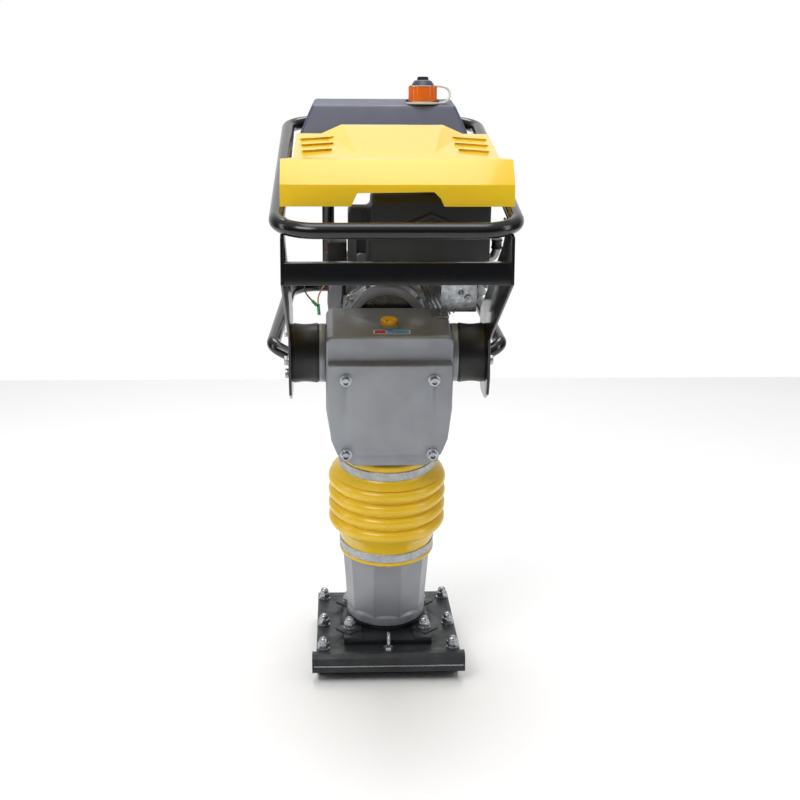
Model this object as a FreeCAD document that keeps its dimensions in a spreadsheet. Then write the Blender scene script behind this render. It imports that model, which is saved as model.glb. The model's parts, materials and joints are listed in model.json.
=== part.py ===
import FreeCAD, Part

import math
import os
import re

import Sketcher
from FreeCAD import Placement, Rotation, Vector

# A tamping rammer ("jumping jack").  Millimetres, +Z up, the origin is the middle of the sole on
# the ground.  -Y is the toe of the shoe, +Y is the operator's side.  The leg leans forward, so
# everything on it is drawn upright about its own axis and then leaned as a whole by in_leg().

SIZES = {
    # shoe
    "sole_width": 270, "lip_width": 286, "lip_deep": 22, "sole_half_long": 172.5,
    "sole_thick": 8, "board_top": 48, "shoe_top": 56, "toe_rise": 22, "toe_run": 55,
    "seam_level": 34, "lip_wall": 8, "shoe_bolt_side": 122, "shoe_bolt_front": -136,
    "shoe_bolt_middle": -12, "shoe_bolt_rear": 138, "stud_radius": 6,
    "flange_half_wide": 83, "flange_half_long": 120, "flange_thick": 14,
    "flange_bolt_side": 72, "flange_bolt_along": 74, "eye_along": -150, "eye_radius": 12,
    "eye_wire": 3,
    # leg
    "leg_lean": 10.5, "leg_foot": 90, "band_radius": 75.5, "band_bottom": -3, "band_top": 14,
    "facets": 10, "foot_top_radius": 84, "foot_neck": 136, "foot_top": 172,
    "neck_radius": 83, "spring_tube_radius": 58, "spring_tube_wall": 6, "spring_floor": 8,
    "spring_cap_low": 258, "spring_cap_high": 270, "piston_low": 132, "piston_high": 150,
    "spring_wire": 4.5, "spring_mean": 40, "spring_turns": 6, "rod_radius": 14,
    "fork_floor": 291, "fork_top": 387, "fork_gap": 15, "fork_wall": 8, "fork_half_wide": 18,
    "guide_low": 190, "guide_radius": 70, "running_gap": 0.08,
    "bellows_wall": 5, "bellows_radius": 111, "bellows_groove": 100, "bellows_folds": 4,
    "fold_start": 191, "fold_pitch": 27.5,
    "lower_clamp_low": 144, "upper_clamp_low": 314, "clamp_high": 17, "clamp_thick": 3,
    # crankcase
    "case_half_wide": 114, "case_bottom_half": 88, "case_top": 594, "case_low": 350,
    "case_shoulder": 455, "case_half_deep": 80, "case_wall": 9, "case_rear_wall": 22,
    "cover_front": 100, "cover_thick": 8, "gasket_thick": 0.8, "cover_top": 546,
    "cover_top_half": 111, "cover_bottom_half": 86.5, "window_radius": 93,
    "cover_bolt_side": 78.5,
    "cover_bolt_high": 520, "cover_bolt_low": 376, "case_neck_low": 322,
    "disc_radius": 53.5, "disc_out": 126, "mount_level": 534, "mount_radius": 55,
    "plate_in": 175, "plate_thick": 5, "mount_bolt_circle": 40,
    # crank train
    "gear_module": 2.5, "gear_teeth": 70, "pinion_teeth": 15, "gear_front": 30,
    "gear_wide": 24, "crank_level": 449, "crank_throw": 22, "crank_pin": 12,
    "rod_long": 100, "big_end": 28, "small_end": 18, "gudgeon": 8, "rod_half_thick": 14,
    "gear_shaft": 20, "pinion_shaft": 15, "drum_radius": 58, "drum_wall": 5,
    "drum_back": 92, "drum_rear": 124, "housing_radius": 70, "housing_bore": 62,
    # engine, along the shaft from the crankcase backwards
    "block_front": 134, "block_rear": 236, "block_radius": 82, "block_cavity": 62,
    "sump_drop": 95, "bank_angle": 25, "barrel_start": 86, "fin_pitch": 8, "fin_count": 9,
    "fin_half": 48, "head_thick": 34, "shroud_radius": 112, "shroud_rear": 296,
    "starter_radius": 94, "starter_rear": 326, "flywheel_radius": 96, "engine_shaft": 14,
    "filter_wide": 222, "filter_side": 81, "filter_front": 104, "filter_deep": 90, "filter_apron": 28,
    "filter_low": 651, "filter_high": 788, "coil_wide": 42, "coil_front": 150, "coil_deep": 44,
    "coil_high": 762,
    "switch_wide": 36, "switch_deep": 28, "switch_high": 42, "switch_side": -92, "switch_along": 184,
    "switch_low": 651, "lead_radius": 1.4, "sleeve_radius": 3, "sleeve_long": 21,
    # handle frame
    "tube_radius": 12.5, "tube_wall": 2.5, "loop_half": 186.5, "loop_front": -496,
    "loop_front_level": 872, "loop_rear": 233, "loop_rear_level": 1026, "loop_bend": 62,
    "guard_half": 213, "guard_rear_half": 187, "guard_front": -60, "guard_front_level": 622,
    "guard_rear": 292, "guard_rear_level": 690, "post_side": 110,
    "strip_rear": -385, "bar_along": -483, "bar_level": 805,
    "bar_high": 35, "bar_deep": 20, "bar_thick": 5,
    # yellow cover, tank and cap
    "hood_half": 160, "brow_half": 180, "hood_wall": 4, "hood_rear": 120, "brow_front": -472,
    "brow_low": 907, "brow_crease": 940, "brow_top": 977, "brow_back": -440,
    "crest_along": -250, "wing_crest_level": 1012, "wing_rear_level": 1006,
    "panel_crest_level": 1027, "panel_rear_level": 1021, "panel_half": 85, "facet_wide": 34,
    "facet_long": 85,
    "tank_half": 162, "tank_top_half": 130, "tank_front": 128, "tank_rear": 212,
    "throttle_side": 60, "tank_low": 935, "tank_shoulder": 1008, "tank_top": 1062, "cap_side": 77,
    "cap_along": 177, "cap_radius": 28, "cap_high": 28, "dome_radius": 24, "dome_high": 16,
}

FUNCTIONS = {"sin", "cos", "tan", "sqrt"}
TURNED_TO = {"z": Rotation(), "x": Rotation(Vector(0, 1, 0), 90), "y": Rotation(Vector(1, 0, 0), -90)}

doc = FreeCAD.newDocument("Rammer")
sheet = doc.addObject("Spreadsheet::Sheet", "Sizes")
for row, (alias, number) in enumerate(SIZES.items(), start=1):
    sheet.set(f"A{row}", str(number))
    sheet.setAlias(f"A{row}", alias)
doc.recompute()

nodes = []


# ---------------------------------------------------------------- helpers

def formula(text):
    """A formula in the sheet's words, such as "sole_width / 2", for the expression engine."""
    def refer(word):
        return word.group() if word.group() in FUNCTIONS else "Sizes." + word.group()
    return re.sub(r"[a-z][a-z_]+", refer, str(text))


def size(text):
    """The number that a formula gives now."""
    return float(sheet.evalExpression(formula(text)))


def bind(piece, **formulas):
    for name, text in formulas.items():
        piece.setExpression(name, formula(text))
    return piece


def put(piece, at, axis="z"):
    """Stands a piece at a place given by three formulas, with its own Z along an axis."""
    piece.Placement = Placement(Vector(), TURNED_TO[axis])
    for letter, text in zip("xyz", at):
        piece.setExpression(f".Placement.Base.{letter}", formula(text))
    return piece


def in_leg(piece):
    """Leans a piece that was drawn about the upright leg axis, about the foot of the leg."""
    piece.Placement = Placement(Vector(0, 0, size("leg_foot")), Rotation(Vector(1, 0, 0), 10))
    piece.setExpression(".Placement.Rotation.Angle", formula("leg_lean"))
    piece.setExpression(".Placement.Base.z", formula("leg_foot"))
    return piece


def node(piece, label):
    piece.Label = label
    nodes.append(piece)
    return piece


def leg_node(piece, label):
    return node(in_leg(piece), label)


def cylinder(radius, height, at, axis="z"):
    return put(bind(doc.addObject("Part::Cylinder"), Radius=radius, Height=height), at, axis)


def cone(low_radius, high_radius, height, at, axis="z"):
    piece = bind(doc.addObject("Part::Cone"), Radius1=low_radius, Radius2=high_radius, Height=height)
    return put(piece, at, axis)


def box(wide, deep, high, middle, low):
    """A block centred on an (x, y) place, standing on a level."""
    piece = bind(doc.addObject("Part::Box"), Length=wide, Width=deep, Height=high)
    corner = (f"({middle[0]}) - ({wide}) / 2", f"({middle[1]}) - ({deep}) / 2", low)
    return put(piece, corner)


def hexagon(circumradius, height, at, axis="z"):
    piece = doc.addObject("Part::Prism")
    piece.Polygon = 6
    return put(bind(piece, Circumradius=circumradius, Height=height), at, axis)


def ball(radius, at):
    return put(bind(doc.addObject("Part::Sphere"), Radius=radius), at)


def torus(ring, wire, at, axis="z"):
    return put(bind(doc.addObject("Part::Torus"), Radius1=ring, Radius2=wire), at, axis)


def fuse(*pieces):
    joined = doc.addObject("Part::MultiFuse")
    joined.Shapes = list(pieces)
    joined.Refine = True
    return joined


def meet(*pieces):
    shared = doc.addObject("Part::MultiCommon")
    shared.Shapes = list(pieces)
    return shared


def cut(base, *tools):
    rest = doc.addObject("Part::Cut")
    rest.Base = base
    rest.Tool = tools[0] if len(tools) == 1 else fuse(*tools)
    return rest


def group(*pieces):
    """Separate solids that share one node."""
    together = doc.addObject("Part::Compound")
    together.Links = list(pieces)
    return together


def sketch_outline(body, plane, points, offset="0"):
    """A closed straight-sided sketch whose corners are bound to formulas."""
    outline = body.newObject("Sketcher::SketchObject", "Outline")
    origin = [item for item in body.Origin.OriginFeatures if item.Role == plane][0]
    outline.AttachmentSupport = [(origin, "")]
    outline.MapMode = "FlatFace"
    outline.setExpression(".AttachmentOffset.Base.z", formula(offset))
    corners = [Vector(size(across), size(up), 0) for across, up in points]
    count = len(corners)
    for index in range(count):
        outline.addGeometry(Part.LineSegment(corners[index], corners[(index + 1) % count]), False)
    for index in range(count):
        outline.addConstraint(Sketcher.Constraint("Coincident", index, 2, (index + 1) % count, 1))
    for index, (across, up) in enumerate(points):
        for kind, text, number in (
            ("DistanceX", across, corners[index].x),
            ("DistanceY", up, corners[index].y),
        ):
            held = outline.addConstraint(Sketcher.Constraint(kind, -1, 1, index, 1, number))
            outline.setExpression(f"Constraints[{held}]", formula(text))
    return outline


def prism(plane, points, length, offset="0", both_ways=True):
    """A body padded from a sketched outline, even about its plane unless both_ways is False."""
    body = doc.addObject("PartDesign::Body")
    pad = body.newObject("PartDesign::Pad", "Pad")
    pad.Profile = sketch_outline(body, plane, points, offset)
    pad.Midplane = both_ways
    bind(pad, Length=length)
    return body


def turned(points, axis="z", at=("0", "0", "0")):
    """A body revolved about its own Z from (radius, level) corners, then laid along an axis."""
    body = doc.addObject("PartDesign::Body")
    profile = sketch_outline(body, "XZ_Plane", points)
    revolution = body.newObject("PartDesign::Revolution", "Revolution")
    revolution.Profile = profile
    revolution.ReferenceAxis = (profile, ["V_Axis"])
    revolution.Angle = 360
    return put(body, at, axis)


def rounded(piece, radius, chosen):
    """Rounds the edges of a piece that a test picks by their middle point and direction."""
    doc.recompute()
    edges = []
    for index, edge in enumerate(piece.Shape.Edges, start=1):
        middle = edge.valueAt((edge.FirstParameter + edge.LastParameter) / 2)
        along = edge.tangentAt((edge.FirstParameter + edge.LastParameter) / 2)
        if chosen(middle, along):
            edges.append((index, radius, radius))
    soft = doc.addObject("Part::Fillet")
    soft.Base = piece
    soft.Edges = edges
    return soft


def route(points, bends, closed=False):
    """A wire of straight runs joined by tangent arcs, one bend radius for each inner point."""
    corners = [Vector(*point) for point in points]
    count = len(corners)
    entries, arcs = [], []
    for index, corner in enumerate(corners):
        if not closed and index in (0, count - 1):
            entries.append((corner, corner))
            arcs.append(None)
            continue
        before = (corners[index - 1] - corner).normalize()
        after = (corners[(index + 1) % count] - corner).normalize()
        half_turn = (math.pi - before.getAngle(after)) / 2
        radius = bends[index % len(bends)]
        reach = radius * math.tan(half_turn)
        first, last = corner + before * reach, corner + after * reach
        inward = (before + after).normalize()
        top = corner + inward * (radius / math.cos(half_turn) - radius)
        entries.append((first, last))
        arcs.append(Part.Arc(first, top, last).toShape())
    edges = []
    for index in range(count):
        if arcs[index]:
            edges.append(arcs[index])
        if index < count - 1 or closed:
            start, finish = entries[index][1], entries[(index + 1) % count][0]
            edges.append(Part.makeLine(start, finish))
    return Part.Wire(edges)


def swept(wire, radius):
    """A solid rod of a radius along a wire."""
    start = wire.Edges[0].valueAt(wire.Edges[0].FirstParameter)
    heading = wire.Edges[0].tangentAt(wire.Edges[0].FirstParameter)
    profile = Part.Wire([Part.makeCircle(radius, start, heading)])
    return wire.makePipeShell([profile], True, False)


def shaped(shape):
    piece = doc.addObject("Part::Feature")
    piece.Shape = shape
    return piece


def involute_gear(teeth, module, width, turn):
    """A straight spur gear about +Z from z = 0, a tooth centred at the angle turn (radians)."""
    pressure = math.radians(25)
    pitch = module * teeth / 2
    base = pitch * math.cos(pressure)
    tip, root = pitch + 0.9 * module, pitch - 1.15 * module
    backlash = 0.14
    half = (math.pi * module / 2 - backlash) / (2 * pitch) + math.tan(pressure) - pressure

    def flank(radius):
        roll = math.acos(min(1.0, base / radius))
        return half - (math.tan(roll) - roll)

    steps = [max(base, root) + (tip - max(base, root)) * share / 3 for share in range(4)]
    side = [(root, flank(max(base, root)))] + [(radius, flank(radius)) for radius in steps]
    if root >= base:
        side = side[1:]
    points = []
    for tooth in range(teeth):
        middle = turn + 2 * math.pi * tooth / teeth
        for radius, angle in side:
            points.append((radius, middle - angle))
        for radius, angle in reversed(side):
            points.append((radius, middle + angle))
    corners = [Vector(radius * math.cos(angle), radius * math.sin(angle), 0) for radius, angle in points]
    face = Part.Face(Part.makePolygon(corners + [corners[0]]))
    return face.extrude(Vector(0, 0, width))


def dome_nut_bolt(at, bottom, seat, shank):
    """A stud from a level up through a seat, with its washer and domed nut."""
    across, along = at
    rod = cylinder(shank, f"({seat}) - ({bottom}) + 10", (across, along, bottom))
    washer = cylinder(f"{shank} * 2", "2.4", (across, along, seat))
    hexagon_nut = hexagon(f"{shank} * 1.8", f"{shank} * 1.6", (across, along, f"({seat}) + 2.4"))
    neck = cylinder(f"{shank} * 1.35", f"{shank} * 0.9", (across, along, f"({seat}) + 2.4 + {shank} * 1.6"))
    dome = ball(f"{shank} * 1.35", (across, along, f"({seat}) + 2.4 + {shank} * 2.5"))
    return fuse(rod, washer, hexagon_nut, neck, dome)


# ---------------------------------------------------------------- shoe

def build_shoe():
    rear, front = "sole_half_long", "-sole_half_long"
    plan = [
        ("-lip_width / 2", front), ("lip_width / 2", front),
        ("lip_width / 2", f"{front} + lip_deep"), ("sole_width / 2", f"{front} + lip_deep"),
        ("sole_width / 2", rear), ("-sole_width / 2", rear),
        ("-sole_width / 2", f"{front} + lip_deep"), ("-lip_width / 2", f"{front} + lip_deep"),
    ]
    bolt_rows = ("shoe_bolt_front", "shoe_bolt_middle", "shoe_bolt_rear")
    bolt_places = [(f"{side} * shoe_bolt_side", row) for side in (-1, 1) for row in bolt_rows]
    flange_places = [
        (f"{side} * flange_bolt_side", f"{end} * flange_bolt_along") for side in (-1, 1) for end in (-1, 1)
    ]

    sole_section = prism("YZ_Plane", [
        (rear, "0"), (f"{front} + toe_run", "0"), (front, "toe_rise"), (front, "seam_level"),
        (f"{front} + lip_wall", "seam_level"), (f"{front} + lip_wall", "toe_rise + 5"),
        (f"{front} + toe_run", "sole_thick"), (rear, "sole_thick"),
    ], "lip_width")
    sole_plan = prism("XY_Plane", plan, "seam_level + 2", both_ways=False)
    holes = [cylinder("stud_radius", "20", (across, along, "-2")) for across, along in bolt_places]
    node(cut(meet(sole_section, sole_plan), *holes), "sole_plate")

    board = prism("YZ_Plane", [
        (f"{rear} - 2", "sole_thick"), (f"{front} + toe_run", "sole_thick"),
        (f"{front} + lip_wall", "toe_rise + 5"), (f"{front} + lip_wall", "board_top - 4"),
        (f"{front} + lip_wall + 6", "board_top"), (f"{rear} - 2", "board_top"),
    ], "sole_width - 6")
    holes = [cylinder("stud_radius", "board_top", (across, along, "2")) for across, along in bolt_places]
    sunk = [
        cylinder("stud_radius * 1.5", "14", (across, along, "board_top - 14"))
        for across, along in flange_places + [("0", "eye_along")]
    ]
    node(cut(board, *holes, *sunk), "shoe_board")

    top_section = prism("YZ_Plane", [
        (rear, "board_top"), (rear, "shoe_top"), (f"{front} + 7", "shoe_top"),
        (front, "shoe_top - 7"), (front, "seam_level"), (f"{front} + lip_wall", "seam_level"),
        (f"{front} + lip_wall", "board_top - 4"), (f"{front} + lip_wall + 6", "board_top"),
    ], "lip_width")
    top_plan = prism("XY_Plane", plan, "shoe_top + 2", both_ways=False)
    holes = [
        cylinder("stud_radius", "20", (across, along, "board_top - 5"))
        for across, along in bolt_places + flange_places + [("0", "eye_along")]
    ]
    node(cut(meet(top_section, top_plan), *holes), "shoe_top_plate")

    bolts = [dome_nut_bolt(place, "sole_thick * 0.3", "shoe_top", "stud_radius") for place in bolt_places]
    node(group(*bolts), "shoe_bolts")

    seat = "shoe_top + flange_thick"
    plate = box("2 * flange_half_wide", "2 * flange_half_long", "flange_thick", ("0", "0"), "shoe_top")
    collar = in_leg(fuse(cone("band_radius + 14", "band_radius + 2", "20", ("0", "0", "band_bottom - 29")),
                         cylinder("band_radius + 2", "9", ("0", "0", "band_bottom - 9"))))
    ground = box("400", "400", "100", ("0", "0"), "shoe_top - 100")
    hollow = in_leg(cylinder("40", "80", ("0", "0", "-60")))
    holes = [
        cylinder("stud_radius", "60", (across, along, "shoe_top - 5")) for across, along in flange_places
    ]
    wells = [
        cylinder("stud_radius * 2.1", "40", (across, along, seat)) for across, along in flange_places
    ]
    dip = box("98", "2 * flange_half_long + 20", "20", ("0", "0"), f"{seat} - 5")
    node(cut(fuse(cut(plate, dip), collar), ground, hollow, *holes, *wells), "foot_flange")
    bolts = [dome_nut_bolt(place, "board_top - 12", seat, "stud_radius") for place in flange_places]
    node(group(*bolts), "flange_bolts")

    eye_level = "shoe_top + 9 + eye_radius"
    stem = cylinder("stud_radius - 1", "24", ("0", "eye_along", "board_top - 10"))
    collar = hexagon("9", "8", ("0", "eye_along", "shoe_top"))
    ring = torus("eye_radius", "eye_wire", ("0", "eye_along", eye_level), "x")
    node(fuse(stem, collar, ring), "eye_bolt")


# ---------------------------------------------------------------- leg

def build_foot_cylinder():
    facet_low = bind(doc.addObject("Part::RegularPolygon"), Polygon="facets", Circumradius="band_radius")
    facet_high = bind(doc.addObject("Part::RegularPolygon"), Polygon="facets", Circumradius="foot_top_radius")
    put(facet_low, ("0", "0", "band_top"))
    put(facet_high, ("0", "0", "foot_neck"))
    facets = doc.addObject("Part::Loft")
    facets.Sections = [facet_low, facet_high]
    facets.Solid = True
    facets.Ruled = True
    band = turned([
        ("0", "band_bottom"), ("band_radius - 2", "band_bottom"), ("band_radius", "band_bottom + 2"),
        ("band_radius", "band_top"), ("band_radius - 5", "band_top + 9"), ("0", "band_top + 9"),
    ])
    neck = cylinder("neck_radius", "foot_top - foot_neck + 6", ("0", "0", "foot_neck - 6"))
    bore = cylinder("spring_tube_radius", "foot_top + 60", ("0", "0", "band_bottom + 6"))
    leg_node(cut(fuse(facets, band, neck), bore), "foot_cylinder")


def build_spring_tube():
    inner = "spring_tube_radius - spring_tube_wall"
    tube = turned([
        ("0", "band_bottom + 6"), ("spring_tube_radius", "band_bottom + 6"),
        ("spring_tube_radius", "spring_cap_low"), (inner, "spring_cap_low"),
        (inner, "spring_floor"), ("0", "spring_floor"),
    ])
    leg_node(group(tube), "spring_cylinder")
    cap = turned([
        ("rod_radius + running_gap", "spring_cap_low"), ("spring_tube_radius", "spring_cap_low"),
        ("spring_tube_radius", "spring_cap_high - 2"), ("spring_tube_radius - 2", "spring_cap_high"),
        ("rod_radius + running_gap", "spring_cap_high"),
    ])
    leg_node(group(cap), "spring_cap")


def build_spring(label, low, high):
    """A round-wire coil spring between two seats."""
    rise = f"({high}) - ({low}) - 2.2 * spring_wire"
    coil = bind(doc.addObject("Part::Helix"), Radius="spring_mean", Height=rise,
                Pitch=f"({rise}) / spring_turns")
    put(coil, ("0", "0", f"({low}) + 1.1 * spring_wire"))
    wire = bind(doc.addObject("Part::Circle"), Radius="spring_wire")
    wire.Placement = Placement(Vector(), Rotation(Vector(1, 0, 0), 90))
    wire.setExpression(".Placement.Base.x", formula("spring_mean"))
    wire.setExpression(".Placement.Base.z", formula(f"({low}) + 1.1 * spring_wire"))
    spring = doc.addObject("Part::Sweep")
    spring.Sections = [wire]
    spring.Spine = (coil, ["Edge1"])
    spring.Solid = True
    spring.Frenet = True
    leg_node(group(spring), label)


def build_piston():
    disc = cylinder("spring_tube_radius - spring_tube_wall - running_gap", "piston_high - piston_low",
                    ("0", "0", "piston_low"))
    rod = cylinder("rod_radius", "fork_floor - 5 - piston_high + 2", ("0", "0", "piston_high - 2"))
    base = box("2 * fork_half_wide", "2 * (fork_gap + fork_wall)", "10", ("0", "0"), "fork_floor - 10")
    cheeks = [
        box("2 * fork_half_wide", "fork_wall", "fork_top - fork_floor",
            ("0", f"{side} * (fork_gap + fork_wall / 2)"), "fork_floor")
        for side in (-1, 1)
    ]
    pin_level = "crank_level + crank_throw - rod_long"
    pin_hole = cylinder("gudgeon + running_gap", "80", ("0", "-40", pin_level), "y")
    leg_node(cut(fuse(disc, rod, base, *cheeks), pin_hole), "ram_piston")


def build_guide():
    tube = turned([
        ("spring_tube_radius + running_gap", "guide_low"), ("guide_radius", "guide_low"),
        ("guide_radius", "case_low + 9"), ("spring_tube_radius + running_gap", "case_low + 9"),
    ])
    leg_node(group(tube), "guide_cylinder")


def build_bellows():
    """Necks clamped at both ends, with round folds between them."""
    low, high = size("foot_neck"), size("case_low - 6")
    wall, crest = size("bellows_wall"), size("bellows_radius")
    groove, neck = size("bellows_groove"), size("neck_radius")
    start, pitch = size("fold_start"), size("fold_pitch")
    folds = int(size("bellows_folds"))
    clamped_low, clamped_high = size("lower_clamp_low + clamp_high"), size("upper_clamp_low")
    shoulder = 3
    outside = [(neck + wall, low), (neck + wall, clamped_low + shoulder)]
    for fold in range(folds):
        bottom = start + fold * pitch
        outside.append((groove, bottom))
        outside.append((crest - shoulder, bottom + pitch * 0.25))
        outside.append((crest, bottom + pitch * 0.5))
        outside.append((crest - shoulder, bottom + pitch * 0.75))
    outside += [(neck + wall, clamped_high - shoulder), (neck + wall, high)]
    clear_of_neck = neck + 0.2
    inside = [(max(radius - wall, clear_of_neck), level) for radius, level in outside]
    corners = [Vector(radius, 0, level) for radius, level in outside + inside[::-1]]
    section = Part.Face(Part.makePolygon(corners + [corners[0]]))
    leg_node(group(shaped(section.revolve(Vector(), Vector(0, 0, 1), 360))), "bellows")


def build_clamp(label, low):
    """A band round a neck of the bellows, with its screw box at the back."""
    inner, outer = "neck_radius + bellows_wall + 0.2", "neck_radius + bellows_wall + clamp_thick"
    high = f"{low} + clamp_high"
    band = turned([(inner, low), (outer, low), (outer, high), (inner, high)])
    lug = box("26", "12", "clamp_high", ("0", f"{outer} + 5"), low)
    screw = cylinder("3.5", "44", ("-22", f"{outer} + 6", f"{low} + clamp_high / 2"), "x")
    leg_node(fuse(band, cut(lug, cylinder(inner, "40", ("0", "0", f"{low} - 10"))), screw), label)


# ---------------------------------------------------------------- crankcase

def case_outline(inset="0"):
    """The front outline of the crankcase, moved inwards by an inset."""
    side = f"(case_half_wide - ({inset}))"
    foot = f"(case_bottom_half - ({inset}))"
    return [
        (f"-{side}", f"case_top - ({inset})"), (f"-{side}", "case_shoulder"),
        (f"-({side} * 0.93)", "case_shoulder - 52"), (f"-{foot}", f"case_low + ({inset})"),
        (foot, f"case_low + ({inset})"), (f"{side} * 0.93", "case_shoulder - 52"),
        (side, "case_shoulder"), (side, f"case_top - ({inset})"),
    ]


def cover_outline():
    bottom, middle = "cover_bottom_half", "(cover_top_half * 0.95)"
    return [
        ("-cover_top_half", "cover_top"), ("-cover_top_half", "case_shoulder"),
        (f"-{middle}", "case_shoulder - 52"), (f"-({bottom} + 8)", "case_low + 24"),
        (f"-({bottom} - 22)", "case_low + 1"), (f"{bottom} - 22", "case_low + 1"),
        (f"{bottom} + 8", "case_low + 24"), (middle, "case_shoulder - 52"),
        ("cover_top_half", "case_shoulder"), ("cover_top_half", "cover_top"),
    ]


def cover_bolt_places():
    return [
        (f"{side} * cover_bolt_side", level)
        for side in (-1, 1) for level in ("cover_bolt_low", "cover_bolt_high")
    ]


def build_crankcase():
    shell = prism("XZ_Plane", case_outline(), "2 * case_half_deep")
    shell = rounded(shell, 14, lambda middle, along: abs(along.y) > 0.9 and middle.z > size("case_top - 5"))
    shell = rounded(shell, 5, lambda middle, along: abs(along.y) < 0.1
                    and abs(middle.y) > size("case_half_deep - 0.1") and middle.z > size("case_shoulder - 5"))
    flange_back = "cover_front - cover_thick - gasket_thick"
    flange = prism("XZ_Plane", cover_outline(), f"{flange_back} - case_half_deep + 6",
                   offset="case_half_deep - 6", both_ways=False)
    neck = cylinder("neck_radius", "case_low - case_neck_low + 10", ("0", "0", "case_neck_low"))
    cavity = prism("XZ_Plane", case_outline("case_wall"), "2 * case_half_deep - case_rear_wall - case_wall",
                   offset="-(case_half_deep - case_rear_wall)", both_ways=False)
    window = cylinder("window_radius", "50", ("0", "-case_half_deep - 30", "crank_level"), "y")
    guide_hole = cylinder("guide_radius", "60", ("0", "0", "case_neck_low - 5"))
    axle_pocket = cylinder("36", "18", ("0", "case_half_deep - case_rear_wall", "crank_level"), "y")
    pinion_pocket = cylinder("27", "40", ("0", "case_half_deep - case_rear_wall - 5", "shaft_level"), "y")
    plug_hole = cylinder("9", "60", ("0", "-28", "case_top - 30"))
    plug_boss = cylinder("20", "8", ("0", "-28", "case_top - 3"))
    screw_holes = [
        cylinder("4.5", "24", (across, "-(cover_front - cover_thick) - 2", level), "y")
        for across, level in cover_bolt_places()
    ]
    bosses = [
        meet(cylinder("13", f"{flange_back} - 50", (across, f"-({flange_back})", level), "y"),
             prism("XZ_Plane", case_outline("1"), "400"))
        for across, level in cover_bolt_places()
    ]
    hollow = cut(fuse(shell, flange, neck, plug_boss), cavity, window, guide_hole,
                 axle_pocket, pinion_pocket, plug_hole)
    leg_node(cut(fuse(hollow, *bosses), *screw_holes), "crankcase")


def build_cover():
    back = "cover_front - cover_thick"
    screws, washers = [], []
    for across, level in cover_bolt_places():
        head = cylinder("7.5", "9", (across, "-cover_front - 10.6", level), "y")
        socket = hexagon("4.6", "6", (across, "-cover_front - 12.6", level), "y")
        shank = cylinder("4.5", "26", (across, "-cover_front - 2", level), "y")
        washer = cylinder("11", "1.6", (across, "-cover_front - 1.6", level), "y")
        screws.append(fuse(cut(head, socket), shank, washer))
    plate = prism("XZ_Plane", cover_outline(), "cover_thick", offset=back, both_ways=False)
    plate = rounded(plate, 2.5, lambda middle, along: middle.y < -size("cover_front - 0.1"))
    holes = [
        cylinder("4.5", "30", (across, "-cover_front - 5", level), "y")
        for across, level in cover_bolt_places()
    ]
    leg_node(cut(plate, *holes), "crankcase_cover")
    rim = prism("XZ_Plane", cover_outline(), "gasket_thick", offset=f"{back} - gasket_thick", both_ways=False)
    opening = cylinder("window_radius", "60", ("0", "-cover_front - 20", "crank_level"), "y")
    holes = [
        cylinder("4.5", "60", (across, "-cover_front - 5", level), "y")
        for across, level in cover_bolt_places()
    ]
    leg_node(cut(rim, opening, *holes), "cover_gasket")
    leg_node(group(*screws), "cover_screws")

    thread = cylinder("9", "16", ("0", "-28", "case_top - 11"))
    head = hexagon("14", "9", ("0", "-28", "case_top + 5"))
    crown = cylinder("10", "5", ("0", "-28", "case_top + 13"))
    leg_node(fuse(thread, head, crown), "oil_plug")


def build_bearings():
    """Ball bearings of the gear shaft and the pinion shaft, each as one ring."""
    front = "case_half_deep - case_rear_wall"
    gear_ring = cut(cylinder("36", "18", ("0", front, "crank_level"), "y"),
                    cylinder("gear_shaft + running_gap", "40", ("0", f"{front} - 5", "crank_level"), "y"))
    pinion_ring = cut(cylinder("27", "20", ("0", front, "shaft_level"), "y"),
                      cylinder("pinion_shaft + running_gap", "40", ("0", f"{front} - 5", "shaft_level"), "y"))
    leg_node(group(gear_ring, pinion_ring), "shaft_bearings")


def gear_piece(teeth, turn, level):
    gear = shaped(involute_gear(int(size(teeth)), size("gear_module"), size("gear_wide"), turn))
    return put(gear, ("0", "gear_front", level), "y")


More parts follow.
